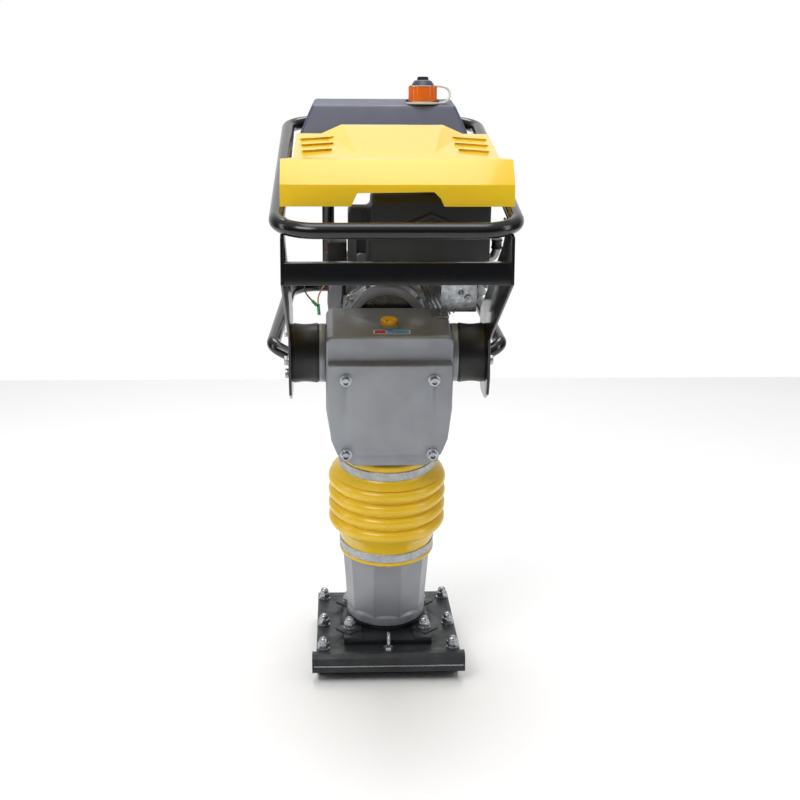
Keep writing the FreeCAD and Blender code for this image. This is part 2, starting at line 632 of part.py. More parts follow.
def build_crank_train():
    gap_half = math.pi / size("gear_teeth")
    # the gear's own +X and +Y lie along the row's +X and -Z once its axis points along +Y
    gear = gear_piece("gear_teeth", -math.pi / 2 + gap_half, "crank_level")
    axle = cylinder("gear_shaft", "case_half_deep - 7 - gear_front - gear_wide",
                    ("0", "gear_front + gear_wide", "crank_level"), "y")
    pin = cylinder("crank_pin", "gear_front + 16 + 2", ("0", "-16", "crank_level + crank_throw"), "y")
    pockets = [
        cylinder("15", "60", (f"56 * cos({angle})", "gear_front - 5",
                              f"crank_level + 56 * sin({angle})"), "y")
        for angle in (-30, 30, 90, 150, 210, 270)
    ]
    leg_node(fuse(cut(gear, *pockets), axle, pin), "crank_gear")

    small_level = "crank_level + crank_throw - rod_long"
    big_level = "crank_level + crank_throw"
    ends = [
        cylinder("big_end", "2 * rod_half_thick", ("0", "-rod_half_thick", big_level), "y"),
        cylinder("small_end", "2 * rod_half_thick", ("0", "-rod_half_thick", small_level), "y"),
        box("20", "14", "rod_long - big_end", ("0", "0"), f"{small_level} + small_end / 2"),
    ]
    bores = [
        cylinder("crank_pin + running_gap", "80", ("0", "-40", big_level), "y"),
        cylinder("gudgeon", "80", ("0", "-40", small_level), "y"),
    ]
    pin = cylinder("gudgeon", "2 * rod_half_thick + 1", ("0", "-rod_half_thick - 0.5", small_level), "y")
    leg_node(group(cut(fuse(*ends), *bores), pin), "connecting_rod")

    pinion = gear_piece("pinion_teeth", math.pi / 2, "shaft_level")
    shaft = cylinder("pinion_shaft", "drum_back - gear_front - gear_wide + 3",
                     ("0", "gear_front + gear_wide - 1", "shaft_level"), "y")
    drum = turned([
        ("0", "0"), ("drum_radius", "0"), ("drum_radius", "drum_rear - drum_back"),
        ("drum_radius - drum_wall", "drum_rear - drum_back"), ("drum_radius - drum_wall", "6"), ("0", "6"),
    ], "y", ("0", "drum_back", "shaft_level"))
    leg_node(fuse(pinion, shaft, drum), "clutch_drum")

    ring = turned([
        ("housing_bore", "0"), ("housing_radius + 8", "0"), ("housing_radius + 8", "6"),
        ("housing_radius", "10"), ("housing_radius", "block_front - case_half_deep - 12"),
        ("housing_radius + 8", "block_front - case_half_deep - 8"),
        ("housing_radius + 8", "block_front - case_half_deep"),
        ("housing_bore", "block_front - case_half_deep"),
    ], "y", ("0", "case_half_deep", "shaft_level"))
    leg_node(group(ring), "clutch_housing")


# ---------------------------------------------------------------- engine

def along_bank(piece):
    """Turns a piece drawn along +X from the crankshaft up to the slope of the cylinder."""
    banked = group(piece)
    banked.Placement = Placement(Vector(), Rotation(Vector(0, 1, 0), -10))
    banked.setExpression(".Placement.Rotation.Angle", formula("-bank_angle"))
    banked.setExpression(".Placement.Base.z", formula("shaft_level"))
    return banked


def bank_box(start, length, half_wide, middle="(block_front + block_rear) / 2", deep="96"):
    return box(length, deep, f"2 * ({half_wide})", (f"({start}) + ({length}) / 2", middle), f"-({half_wide})")


def build_engine_block():
    length = "block_rear - block_front"
    barrel = cylinder("block_radius", length, ("0", "block_front", "shaft_level"), "y")
    sump = box("172", length, "sump_drop", ("0", "(block_front + block_rear) / 2"), "shaft_level - sump_drop")
    deck = along_bank(bank_box("0", "barrel_start", "fin_half - 2"))
    cavity = cylinder("block_cavity", f"{length} - 20", ("0", "block_front + 10", "shaft_level"), "y")
    shaft_hole = cylinder("engine_shaft + 2", f"{length} + 20", ("0", "block_front - 10", "shaft_level"), "y")
    bore = along_bank(cylinder("30", "120", ("20", "(block_front + block_rear) / 2", "0"), "x"))
    ribs = [
        box("6", length, "26", (f"{across}", "(block_front + block_rear) / 2"), "shaft_level - sump_drop + 60")
        for across in (-89, 89)
    ]
    body = rounded(fuse(barrel, sump), 8, lambda middle, along: abs(along.y) > 0.9
                   and middle.z < size("shaft_level - sump_drop + 1"))
    leg_node(cut(fuse(body, deck, *ribs), cavity, shaft_hole, bore), "engine_block")


def build_cylinder():
    middle = "(block_front + block_rear) / 2"
    fins_long = "fin_pitch * fin_count"
    barrel = cylinder("42", f"{fins_long} + 6", ("barrel_start", middle, "0"), "x")
    fins = [
        bank_box(f"barrel_start + {count} * fin_pitch + 3", "3", "fin_half")
        for count in range(int(size("fin_count")))
    ]
    head = bank_box(f"barrel_start + {fins_long} + 3", "head_thick", "fin_half - 6", deep="84")
    bore = cylinder("30", f"{fins_long} + 2", ("barrel_start - 1", middle, "0"), "x")
    leg_node(group(along_bank(cut(fuse(barrel, head, *fins), bore))), "engine_cylinder")
    cover = bank_box(f"barrel_start + {fins_long} + 3 + head_thick", "22", "fin_half - 12", deep="72")
    cover = rounded(cover, 6, lambda point, along: point.x > size(f"barrel_start + {fins_long} + 36"))
    leg_node(group(along_bank(cover)), "rocker_cover")
    start = f"barrel_start + {fins_long} + 20"
    body = cylinder("7", "20", (start, "block_front - 12", "0"), "y")
    boot = cylinder("11", "34", (start, "block_front - 40", "0"), "y")
    leg_node(group(along_bank(fuse(body, boot))), "spark_plug")


def build_engine_fittings():
    """Intake, exhaust, cooling and starting gear of the engine."""
    case = box("filter_wide", "filter_deep", "filter_high - filter_low - filter_apron",
               ("filter_side", "filter_front + filter_deep / 2"), "filter_low + filter_apron")
    apron = box("filter_wide", "filter_apron", "filter_high - filter_low",
                ("filter_side", "filter_front + filter_apron / 2"), "filter_low")
    coil = box("coil_wide + 20", "coil_deep", "coil_high - filter_low - filter_apron",
               ("filter_side - filter_wide / 2 - coil_wide / 2 + 10", "coil_front + coil_deep / 2"),
               "filter_low + filter_apron")
    case = rounded(fuse(case, apron, coil), 10, lambda middle, along: abs(along.y) > 0.9)
    leg_node(group(case), "air_cleaner")
    throat = cylinder("15", "8", ("30", "filter_front + 90", "shaft_level + 142"), "y")
    bowl = cylinder("18", "30", ("30", "214", "shaft_level + 86"))
    body = box("44", "34", "44", ("30", "214"), "shaft_level + 114")
    leg_node(fuse(throat, bowl, body), "carburettor")

    silencer = box("64", "70", "96", ("165", "282"), "shaft_level + 36")
    silencer = rounded(silencer, 16, lambda middle, along: abs(along.y) > 0.9)
    flange = box("30", "16", "30", ("160", "241"), "shaft_level + 56")
    outlet = cylinder("11", "22", ("172", "314", "shaft_level + 66"), "y")
    leg_node(fuse(silencer, flange, outlet), "muffler")

    shroud_long = "shroud_rear - block_rear"
    ring = cylinder("shroud_radius", shroud_long, ("0", "block_rear", "shaft_level"), "y")
    duct = along_bank(bank_box("20", "88", "fin_half", middle="(block_rear + shroud_rear) / 2 - 6", deep="46"))
    inside = cylinder("shroud_radius - 4", shroud_long, ("0", "block_rear + 3", "shaft_level"), "y")
    shaft_hole = cylinder("engine_shaft + 6", "200", ("0", "block_rear - 50", "shaft_level"), "y")
    duct_inside = along_bank(bank_box("20", "84", "fin_half - 4", middle="(block_rear + shroud_rear) / 2 - 6",
                                      deep="40"))
    leg_node(cut(fuse(ring, duct), inside, shaft_hole, duct_inside), "fan_shroud")
    dome = turned([
        ("0", "26"), ("starter_radius - 12", "26"), ("starter_radius", "18"), ("starter_radius + 12", "0"),
        ("starter_radius + 12", "-1"), ("0", "-1"),
    ], "y", ("0", "shroud_rear + 1", "shaft_level"))
    hollow = turned([
        ("0", "22"), ("starter_radius - 14", "22"),
        ("starter_radius - 3", "15"), ("starter_radius + 6", "-2"),
        ("0", "-2"),
    ], "y", ("0", "shroud_rear + 1", "shaft_level"))
    slots = [
        cylinder("6", "60", (f"60 * cos({angle})", "shroud_rear", f"shaft_level + 60 * sin({angle})"), "y")
        for angle in range(0, 360, 30)
    ]
    rope_hole = cylinder("5", "60", ("-40", "shroud_rear", "shaft_level + 40"), "y")
    leg_node(cut(dome, hollow, rope_hole, *slots), "recoil_starter")
    grip = fuse(cylinder("9", "70", ("-75", "starter_rear + 10", "shaft_level + 40"), "x"),
                cylinder("7", "12", ("-40", "starter_rear - 2", "shaft_level + 40"), "y"))
    leg_node(grip, "starter_grip")


def build_engine_train():
    shaft = cylinder("engine_shaft", "shroud_rear - drum_back - 18", ("0", "drum_back + 10", "shaft_level"), "y")
    webs = [cylinder("44", "14", ("0", f"block_front + {start}", "shaft_level"), "y") for start in (26, 62)]
    throw = cylinder("11", "40", ("0", "block_front + 32", "shaft_level - 24"), "y")
    leg_node(fuse(shaft, *webs, throw), "crankshaft")
    hub = cylinder("30", "20", ("0", "drum_back + 10", "shaft_level"), "y")
    shoes = cylinder("drum_radius - drum_wall - 1.5", "20", ("0", "drum_back + 10", "shaft_level"), "y")
    gap = box("12", "30", "140", ("0", "drum_back + 20"), "shaft_level - 70")
    bore = cylinder("engine_shaft", "40", ("0", "drum_back + 5", "shaft_level"), "y")
    leg_node(cut(fuse(cut(shoes, gap), hub), bore), "clutch_shoes")
    disc = cylinder("flywheel_radius", "12", ("0", "block_rear + 8", "shaft_level"), "y")
    blades = [
        put(box("4", "14", "24", ("0", "0"), "0"), (f"64 * sin({angle})", "block_rear + 18",
                                                   f"shaft_level + 64 * cos({angle}) - 12"))
        for angle in range(0, 360, 30)
    ]
    leg_node(cut(fuse(disc, *blades), cylinder("engine_shaft", "60", ("0", "block_rear", "shaft_level"), "y")),
             "flywheel")


def build_small_engine_parts():
    foot = box("30", "40", "3", ("97", "36"), "case_top")
    wall = box("66", "3", "54", ("132", "54.5"), "case_top")
    hole = cylinder("5", "20", ("136", "45", "case_top + 38"), "y")
    shank = cylinder("4.5", "18", ("150", "44", "case_top + 26"), "y")
    head = hexagon("8", "6", ("150", "47", "case_top + 26"), "y")
    leg_node(cut(fuse(foot, wall, shank, head), hole), "cable_bracket")

    stem = cylinder("4", "26", ("-18.2", "214", "shaft_level + 136"), "x")
    leg_node(fuse(stem, box("6", "10", "34", ("-18", "214"), "shaft_level + 126")), "choke_lever")
    case = box("switch_wide", "switch_deep", "switch_high", ("switch_side", "switch_along"), "switch_low")
    arm = box("8", "18", "switch_low - shaft_level - 30", ("-80", "switch_along"), "shaft_level + 31")
    seat = cylinder("7", "11", ("switch_side - switch_wide / 2 - 2", "switch_along", "switch_low + 26"), "x")
    leg_node(cut(fuse(case, arm), seat), "switch_box")
    button = cylinder("7 - 0.3", "9", ("switch_side - switch_wide / 2 - 3.5", "switch_along", "switch_low + 26"), "x")
    leg_node(group(button), "stop_button")


# ---------------------------------------------------------------- handle frame

def build_mounts():
    for label, radius, start, finish in (
        ("mount_discs", "disc_radius", "case_half_wide", "disc_out"),
        ("rubber_mounts", "mount_radius", "disc_out", "plate_in"),
    ):
        right = cylinder(radius, f"{finish} - {start}", (start, "0", "mount_level"), "x")
        left = cylinder(radius, f"{finish} - {start}", (f"-({finish})", "0", "mount_level"), "x")
        leg_node(group(right, left), label)
    nuts = []
    outside = "plate_in + plate_thick"
    for side in (-1, 1):
        for angle in (90, 180, 270):
            place = (f"mount_bolt_circle * cos({angle})", f"mount_level + mount_bolt_circle * sin({angle})")
            start = outside if side > 0 else f"-({outside}) - 9"
            washer = outside if side > 0 else f"-({outside}) - 2"
            nuts.append(fuse(hexagon("9", "9", (start, *place), "x"),
                             cylinder("10.5", "2", (washer, *place), "x")))
    leg_node(group(*nuts), "mount_nuts")


def loop_level(along):
    slope = "(loop_rear_level - loop_front_level) / (loop_rear - loop_front)"
    return f"(loop_front_level + (({along}) - loop_front) * {slope})"


def build_side_plates():
    under_tube = "tube_radius * 1.03"
    outline = [
        ("-175", "578"), ("-160", "548"), ("-120", "534"), ("-60", "538"), ("-24", "572"), ("-20", "640"),
        ("-40", "690"), ("strip_rear + 20", "838"), ("strip_rear", "852"),
        ("strip_rear", f"{loop_level('strip_rear')} - {under_tube}"),
        ("bar_along - 2", f"{loop_level('bar_along - 2')} - {under_tube}"),
        ("bar_along - 2", "bar_level - bar_high / 2"), ("-175", "650"),
    ]
    right = prism("YZ_Plane", outline, "plate_thick", offset="plate_in", both_ways=False)
    left = prism("YZ_Plane", outline, "plate_thick", offset="-plate_in - plate_thick", both_ways=False)
    node(right, "right_side_plate")
    node(left, "left_side_plate")


def build_crossbar():
    half = "bar_high / 2"
    web = box("2 * plate_in", "bar_thick", "bar_high", ("0", "bar_along"), f"bar_level - {half}")
    upper = box("2 * plate_in", "bar_deep", "bar_thick", ("0", "bar_along + bar_deep / 2"),
                f"bar_level + {half} - bar_thick")
    lower = box("2 * plate_in", "bar_deep", "bar_thick", ("0", "bar_along + bar_deep / 2"), f"bar_level - {half}")
    node(fuse(web, upper, lower), "front_crossbar")


def hollow_tube(wire):
    outer, inner = size("tube_radius"), size("tube_radius - tube_wall")
    return shaped(swept(wire, outer).cut(swept(wire, inner)))


def build_tubes():
    half, bend = size("loop_half"), size("loop_bend")
    front, front_level = size("loop_front"), size("loop_front_level")
    rear, rear_level = size("loop_rear"), size("loop_rear_level")
    loop = route([
        (0, front, front_level), (half, front, front_level), (half, rear, rear_level),
        (-half, rear, rear_level), (-half, front, front_level), (0, front, front_level),
    ], [bend])
    node(group(hollow_tube(loop)), "top_loop")

    exit_side = size("plate_in + plate_thick")
    guard, guard_rear = size("guard_half"), size("guard_rear_half")
    near, near_level = size("guard_front"), size("guard_front_level")
    far, far_level = size("guard_rear"), size("guard_rear_level")
    right_side = [
        (exit_side - 14, near - 20, near_level - 21), (guard, near, near_level), (guard_rear, far, far_level),
    ]
    left_side = [(-across, along, level) for across, along, level in right_side[::-1]]
    guard_tube = hollow_tube(route(right_side + left_side, [0, 28, 60, 60, 28]))
    between_plates = box("2 * (plate_in + plate_thick)", "200", "300", ("0", "guard_front"), "guard_front_level - 150")
    posts = []
    for side in (-1, 1):
        across = side * size("post_side")
        low = (across, far - 2, far_level + size("tube_radius") - 1)
        high = (across, rear + 3, rear_level - size("tube_radius") - 0.5)
        posts.append(hollow_tube(Part.Wire([Part.makeLine(Vector(*low), Vector(*high))])))
    node(cut(fuse(guard_tube, *posts), between_plates), "lower_guard")


# ---------------------------------------------------------------- cover, tank and cap

def beyond_plane(first, second, third):
    """A large block on the upper side of the plane through three points, given by formulas."""
    first, second, third = [Vector(*(size(text) for text in point)) for point in (first, second, third)]
    normal = (second - first).cross(third - first).normalize()
    if normal.z < 0:
        normal = -normal
    wide = 1000
    block = Part.makeBox(wide, wide, wide, Vector(-wide / 2, -wide / 2, 0))
    block.Placement = Placement(first, Rotation(Vector(0, 0, 1), normal))
    return shaped(block)


def wing_level(along):
    """The level of the wing's front slope at a place along it."""
    slope = "(wing_crest_level - brow_top) / (crest_along - brow_back)"
    return f"brow_top + ({along} - brow_back) * {slope}"


def hood_facets():
    """The sloping flats that trim the raised panel's sides, before and behind its crest."""
    facets = []
    for side in (-1, 1):
        foot = (f"{side} * (panel_half + facet_wide)", "crest_along", "wing_crest_level")
        edge = (f"{side} * panel_half", "crest_along", "panel_crest_level")
        front = (f"{side} * panel_half", "crest_along - facet_long", wing_level("crest_along - facet_long"))
        rear = (f"{side} * (panel_half + facet_wide)", "hood_rear", "wing_rear_level")
        facets += [beyond_plane(foot, edge, front), beyond_plane(foot, edge, rear)]
    return facets


def build_hood():
    """The yellow cover: a deep brow in front, two wings and a raised middle panel."""
    outer = [
        ("brow_front", "brow_low"), ("brow_front + 2", "brow_crease"), ("brow_back", "brow_top"),
        ("crest_along", "wing_crest_level"), ("hood_rear", "wing_rear_level"),
        ("hood_rear", "wing_rear_level - 20"),
    ]
    inner = [
        ("hood_rear - hood_wall", "wing_rear_level - 20"),
        ("hood_rear - hood_wall", "wing_rear_level - hood_wall"),
        ("crest_along + 1", "wing_crest_level - hood_wall"), ("brow_back + 2", "brow_top - hood_wall - 1"),
        ("brow_front + hood_wall + 3", "brow_crease - 1"), ("brow_front + hood_wall", "brow_low"),
    ]
    wings = prism("YZ_Plane", outer + inner, "2 * brow_half")
    plan = prism("XY_Plane", [
        ("-brow_half", "brow_front - 1"), ("brow_half", "brow_front - 1"), ("brow_half", "brow_back + 3"),
        ("hood_half", "brow_back + 12"), ("hood_half", "hood_rear + 1"), ("-hood_half", "hood_rear + 1"),
        ("-hood_half", "brow_back + 12"), ("-brow_half", "brow_back + 3"),
    ], "1200", both_ways=False)
    wings = meet(wings, plan)
    panel = prism("YZ_Plane", [
        ("brow_back + 20", "brow_top + 1"), ("crest_along", "wing_crest_level - hood_wall"),
        ("hood_rear", "wing_rear_level - hood_wall"),
        ("hood_rear", "panel_rear_level"), ("crest_along + 10", "panel_crest_level"),
        ("crest_along - 12", "panel_crest_level - 3"),
    ], "2 * (panel_half + facet_wide)")
    under_panel = prism("YZ_Plane", [
        ("crest_along - 90", "wing_crest_level - 22"),
        ("hood_rear - hood_wall", "wing_rear_level - hood_wall - 8"),
        ("hood_rear - hood_wall", "panel_rear_level - hood_wall"),
        ("crest_along + 10", "panel_crest_level - hood_wall"),
        ("crest_along - 10", "panel_crest_level - 4 - hood_wall"),
    ], "2 * (panel_half - hood_wall)")
    panel = cut(panel, *hood_facets())
    sides = [
        box("hood_wall", "hood_rear - brow_back - 14", "80",
            (f"{side} * (hood_half - hood_wall / 2)", "(hood_rear + brow_back + 14) / 2"), "brow_top - 40")
        for side in (-1, 1)
    ]
    below_top = prism("YZ_Plane", [
        ("brow_front", "brow_low"), ("brow_back", "brow_top - 1"), ("crest_along", "wing_crest_level - 1"),
        ("hood_rear", "wing_rear_level - 1"), ("hood_rear", "wing_rear_level - 25"),
        ("crest_along", "wing_crest_level - 25"), ("brow_back", "brow_top - 25"),
    ], "2 * brow_half")
    sides = [meet(side, below_top) for side in sides]
    cheek_wall = [
        meet(prism("YZ_Plane", [
            ("brow_front + 1", "brow_low"), ("brow_front + 3", "brow_crease"), ("brow_back", "brow_top - 1"),
            ("brow_back + 6", "brow_top - 1"), ("brow_back + 6", "brow_low + 8")],
            "2 * brow_half"), box("hood_wall", "80", "80",
                                  (f"{side} * (brow_half - hood_wall / 2)", "brow_back - 4"), "brow_low"))
        for side in (-1, 1)
    ]
    notch = prism("XZ_Plane", [
        ("-72", "brow_low - 1"), ("-62", "brow_low + 20"), ("56", "brow_low + 22"), ("66", "brow_low + 12"),
        ("72", "brow_low - 1"),
    ], "40", offset="-brow_front - 20", both_ways=False)
    louvres = [
        box("42", "6", "90", (f"{side} * 126", f"crest_along - 40 - 45 * {row}"), "brow_top - 30")
        for side in (-1, 1) for row in range(3)
    ]
    node(cut(fuse(wings, panel, *sides, *cheek_wall), under_panel, notch, *louvres), "top_cover")


def build_tank():
    front_view = prism("XZ_Plane", [
        ("-tank_half", "tank_low"), ("tank_half", "tank_low"), ("tank_half", "tank_shoulder"),
        ("tank_top_half", "tank_top + 20"),
        ("-tank_top_half", "tank_top + 20"), ("-tank_half", "tank_shoulder"),
    ], "800")
    side_view = prism("YZ_Plane", [
        ("tank_front", "tank_low"), ("tank_rear - 4", "tank_low"), ("tank_rear", "tank_shoulder"),
        ("tank_rear - 8", "tank_top + 12"), ("tank_front + 24", "tank_top - 4"),
        ("tank_front", "tank_shoulder - 6"),
    ], "400")
    shell = meet(front_view, side_view)
    shell = rounded(shell, 9, lambda middle, along: middle.z > size("tank_shoulder - 12"))
    dish = cylinder("cap_radius + 6", "40", ("cap_side", "cap_along", "tank_top - 2"))
    neck = cylinder("cap_radius - 6", "16", ("cap_side", "cap_along", "tank_top - 12"))
    hollow = box("2 * tank_half - 40", "56", "tank_shoulder - tank_low - 10",
                 ("0", "(tank_front + tank_rear) / 2"), "tank_low + 4")
    mouth = cylinder("cap_radius - 9", "120", ("cap_side", "cap_along", "tank_low + 40"))
    node(cut(fuse(cut(shell, dish), neck), hollow, mouth), "fuel_tank")
    seat = "tank_top + 4.5"
    ring = cylinder("cap_radius", "cap_high", ("cap_side", "cap_along", seat))
    dome = cone("dome_radius", "dome_radius - 6", "dome_high", ("cap_side", "cap_along", f"{seat} + cap_high"))
    knob = box("8", "34", "5", ("cap_side", "cap_along"), f"{seat} + cap_high + dome_high - 1")
    node(fuse(ring, dome, knob), "fuel_cap")


def build_throttle():
    """A clamp on the rear bar that carries the throttle lever on an upright pivot."""
    across, along, level = "throttle_side", "loop_rear", "loop_rear_level"
    ring = cylinder("tube_radius + 4", "28", (f"{across} - 14", along, level), "x")
    shelf = box("28", "30", "7", (across, f"{along} + 27"), f"{level} - 3.5")
    pivot = cylinder("4", "18", (across, f"{along} + 30", f"{level} - 3.5"))
    tube = cylinder("tube_radius", "60", (f"{across} - 30", along, level), "x")
    node(cut(fuse(ring, shelf, pivot), tube), "throttle_clamp")
    boss = cylinder("10", "6", (across, f"{along} + 30", f"{level} + 4"))
    blade = box("70", "12", "6", (f"{across} - 38", f"{along} + 30"), f"{level} + 4")
    knob = cylinder("9", "20", (f"{across} - 72", f"{along} + 30", f"{level} + 2"))
    hole = cylinder("4 + running_gap", "20", (across, f"{along} + 30", level))
    node(cut(fuse(boss, blade, knob), hole), "throttle_lever")


# ---------------------------------------------------------------- stop leads

def lead_route(points):
    """Straight runs and tangent arcs, each arc as wide as its two runs allow."""
    corners = [Vector(*point) for point in points]
    bends = []
    for before, corner, after in zip(corners, corners[1:], corners[2:]):
        back, onward = before - corner, after - corner
        half_turn = (math.pi - back.getAngle(onward)) / 2
        bends.append(0.45 * min(back.Length, onward.Length) / math.tan(half_turn))
    print("lead radii", [round(bend, 1) for bend in bends])
    return route(points, [0] + bends)


def build_leads():
    """Two short leads from the switch box that meet in a pair of sleeves."""
    radius, sleeve = size("lead_radius"), size("sleeve_radius")
    black = [
        (-104, 58, 760), (-109, 56, 750), (-120, 53, 741), (-134, 48, 739), (-147, 42, 735),
        (-154, 36, 725), (-155, 31, 713), (-149, 27, 703), (-140, 24, 694),
    ]
    tan = [
        (-94, 58, 760), (-98, 55, 747), (-107, 49, 735), (-117, 42, 722), (-125, 36, 710),
        (-130, 31, 698), (-129, 27, 687),
    ]
    ends = []
    for label, points in (("black_stop_lead", black), ("brown_stop_lead", tan)):
        wire = lead_route(points)
        tube = swept(wire, radius)
        node(group(shaped(tube)), label)
        last, before = Vector(*points[-1]), Vector(*points[-2])
        ends.append((last, (last - before).normalize()))
    (black_end, black_way), (tan_end, tan_way) = ends
    first = Part.makeCylinder(sleeve, size("sleeve_long") * 0.6, black_end, black_way)
    second = Part.makeCylinder(sleeve, size("sleeve_long"), tan_end, tan_way)
    node(group(shaped(first.cut(second)), shaped(second)), "lead_sleeves")


# ---------------------------------------------------------------- build, check and write

sheet.set(f"A{len(SIZES) + 1}", "=crank_level + gear_module * (gear_teeth + pinion_teeth) / 2")
sheet.setAlias(f"A{len(SIZES) + 1}", "shaft_level")
doc.recompute()

build_shoe()
build_foot_cylinder()
build_spring_tube()
build_spring("lower_spring", "spring_floor", "piston_low")
build_spring("upper_spring", "piston_high", "spring_cap_low")
build_piston()
build_guide()
build_bellows()
build_clamp("lower_bellows_clamp", "lower_clamp_low")
build_clamp("upper_bellows_clamp", "upper_clamp_low")
build_crankcase()
build_cover()
build_bearings()
build_crank_train()
build_engine_block()
build_cylinder()
build_engine_fittings()
build_engine_train()
build_small_engine_parts()
build_mounts()
build_side_plates()
build_crossbar()
build_tubes()
build_hood()
build_tank()
build_throttle()
build_leads()
doc.recompute()

failed = [item.Label for item in doc.Objects if "Invalid" in item.State or "Error" in item.State]
if failed:
    raise RuntimeError(f"these did not compute: {failed}")
for piece in nodes:
    if piece.Shape.isNull() or not piece.Shape.isValid() or not piece.Shape.Solids:
        raise RuntimeError(f"{piece.Label} has no valid solid")

os.makedirs("parts", exist_ok=True)
for piece in nodes:
    piece.Shape.exportStep(os.path.join("parts", piece.Label + ".step"))
    print(piece.Label, len(piece.Shape.Solids), round(piece.Shape.Volume / 1000, 1))
print(len(nodes), "nodes")
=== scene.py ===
"""Looks of a tamping rammer ("jumping jack"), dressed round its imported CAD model.

Metres, +Z up, the origin is the middle of the sole on the ground, -Y is the toe of the shoe.
Each sub-assembly is a class: its fields are sizes, its methods model the pieces and dress them.
"""

import json
import logging
import math
from collections.abc import Callable, Iterator, Sequence
from contextlib import contextmanager
from dataclasses import dataclass
from enum import Enum

import bmesh
import bpy
from mathutils import Matrix, Vector


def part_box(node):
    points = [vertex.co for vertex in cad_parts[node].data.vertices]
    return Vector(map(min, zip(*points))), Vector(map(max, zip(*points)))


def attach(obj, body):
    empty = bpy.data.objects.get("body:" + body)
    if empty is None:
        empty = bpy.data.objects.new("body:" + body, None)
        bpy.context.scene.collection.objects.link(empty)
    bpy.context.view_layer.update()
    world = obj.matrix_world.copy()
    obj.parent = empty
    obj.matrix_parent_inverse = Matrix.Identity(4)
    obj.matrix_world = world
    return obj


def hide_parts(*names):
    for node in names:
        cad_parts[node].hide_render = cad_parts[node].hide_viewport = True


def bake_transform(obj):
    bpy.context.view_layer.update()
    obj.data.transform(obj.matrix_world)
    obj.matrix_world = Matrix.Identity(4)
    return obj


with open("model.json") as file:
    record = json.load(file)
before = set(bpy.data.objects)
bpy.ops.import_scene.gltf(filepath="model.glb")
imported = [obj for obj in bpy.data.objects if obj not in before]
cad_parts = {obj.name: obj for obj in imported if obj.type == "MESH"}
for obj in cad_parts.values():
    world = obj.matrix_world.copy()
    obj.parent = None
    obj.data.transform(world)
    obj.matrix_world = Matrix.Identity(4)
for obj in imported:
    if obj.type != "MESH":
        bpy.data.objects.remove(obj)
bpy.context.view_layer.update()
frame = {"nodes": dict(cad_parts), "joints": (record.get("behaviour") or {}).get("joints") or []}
LOG = logging.getLogger("rammer")
MM = 0.001
TOUCHING = 0.00002
Point = Sequence[float]


# ---------------------------------------------------------------- finishes


class Surface(Enum):
    """How a surface was made, which decides the fine pattern that it shows."""

    CAST = "cast"
    SPRAYED = "sprayed"
    BRUSHED = "brushed"
    SPANGLED = "spangled"
    MOULDED = "moulded"
    SCUFFED = "scuffed"
    LAMINATED = "laminated"
    FIBROUS = "fibrous"


def linear(hex_colour: str) -> tuple[float, float, float, float]:
    """Turns an sRGB hex colour to the linear one that a shader takes.

    Args:
        hex_colour: Six hex digits after a hash sign.

    Returns:
        Red, green, blue and a full alpha.
    """
    parts = [int(hex_colour[start : start + 2], 16) / 255 for start in (1, 3, 5)]
    red, green, blue = [
        part / 12.92 if part <= 0.04045 else ((part + 0.055) / 1.055) ** 2.4 for part in parts
    ]
    return red, green, blue, 1.0


def add_node(
    tree: bpy.types.NodeTree, kind: str, settings: dict[str, object], links: dict[str, object]
) -> bpy.types.Node:
    """Adds one node to a material with its settings and its links.

    Args:
        tree: The material's node tree.
        kind: The node's type, without the ShaderNode in front.
        settings: Values by name, put on a node property if it has one and on a socket if not.
        links: Output sockets by the name of the input that they feed.

    Returns:
        The new node.
    """
    node = tree.nodes.new("ShaderNode" + kind)
    for name, value in settings.items():
        if hasattr(node, name):
            setattr(node, name, value)
    for name, value in settings.items():
        if not hasattr(node, name):
            node.inputs[int(name) if name.isdigit() else name].default_value = value
    for name, source in links.items():
        tree.links.new(source, node.inputs[int(name) if name.isdigit() else name])
    return node


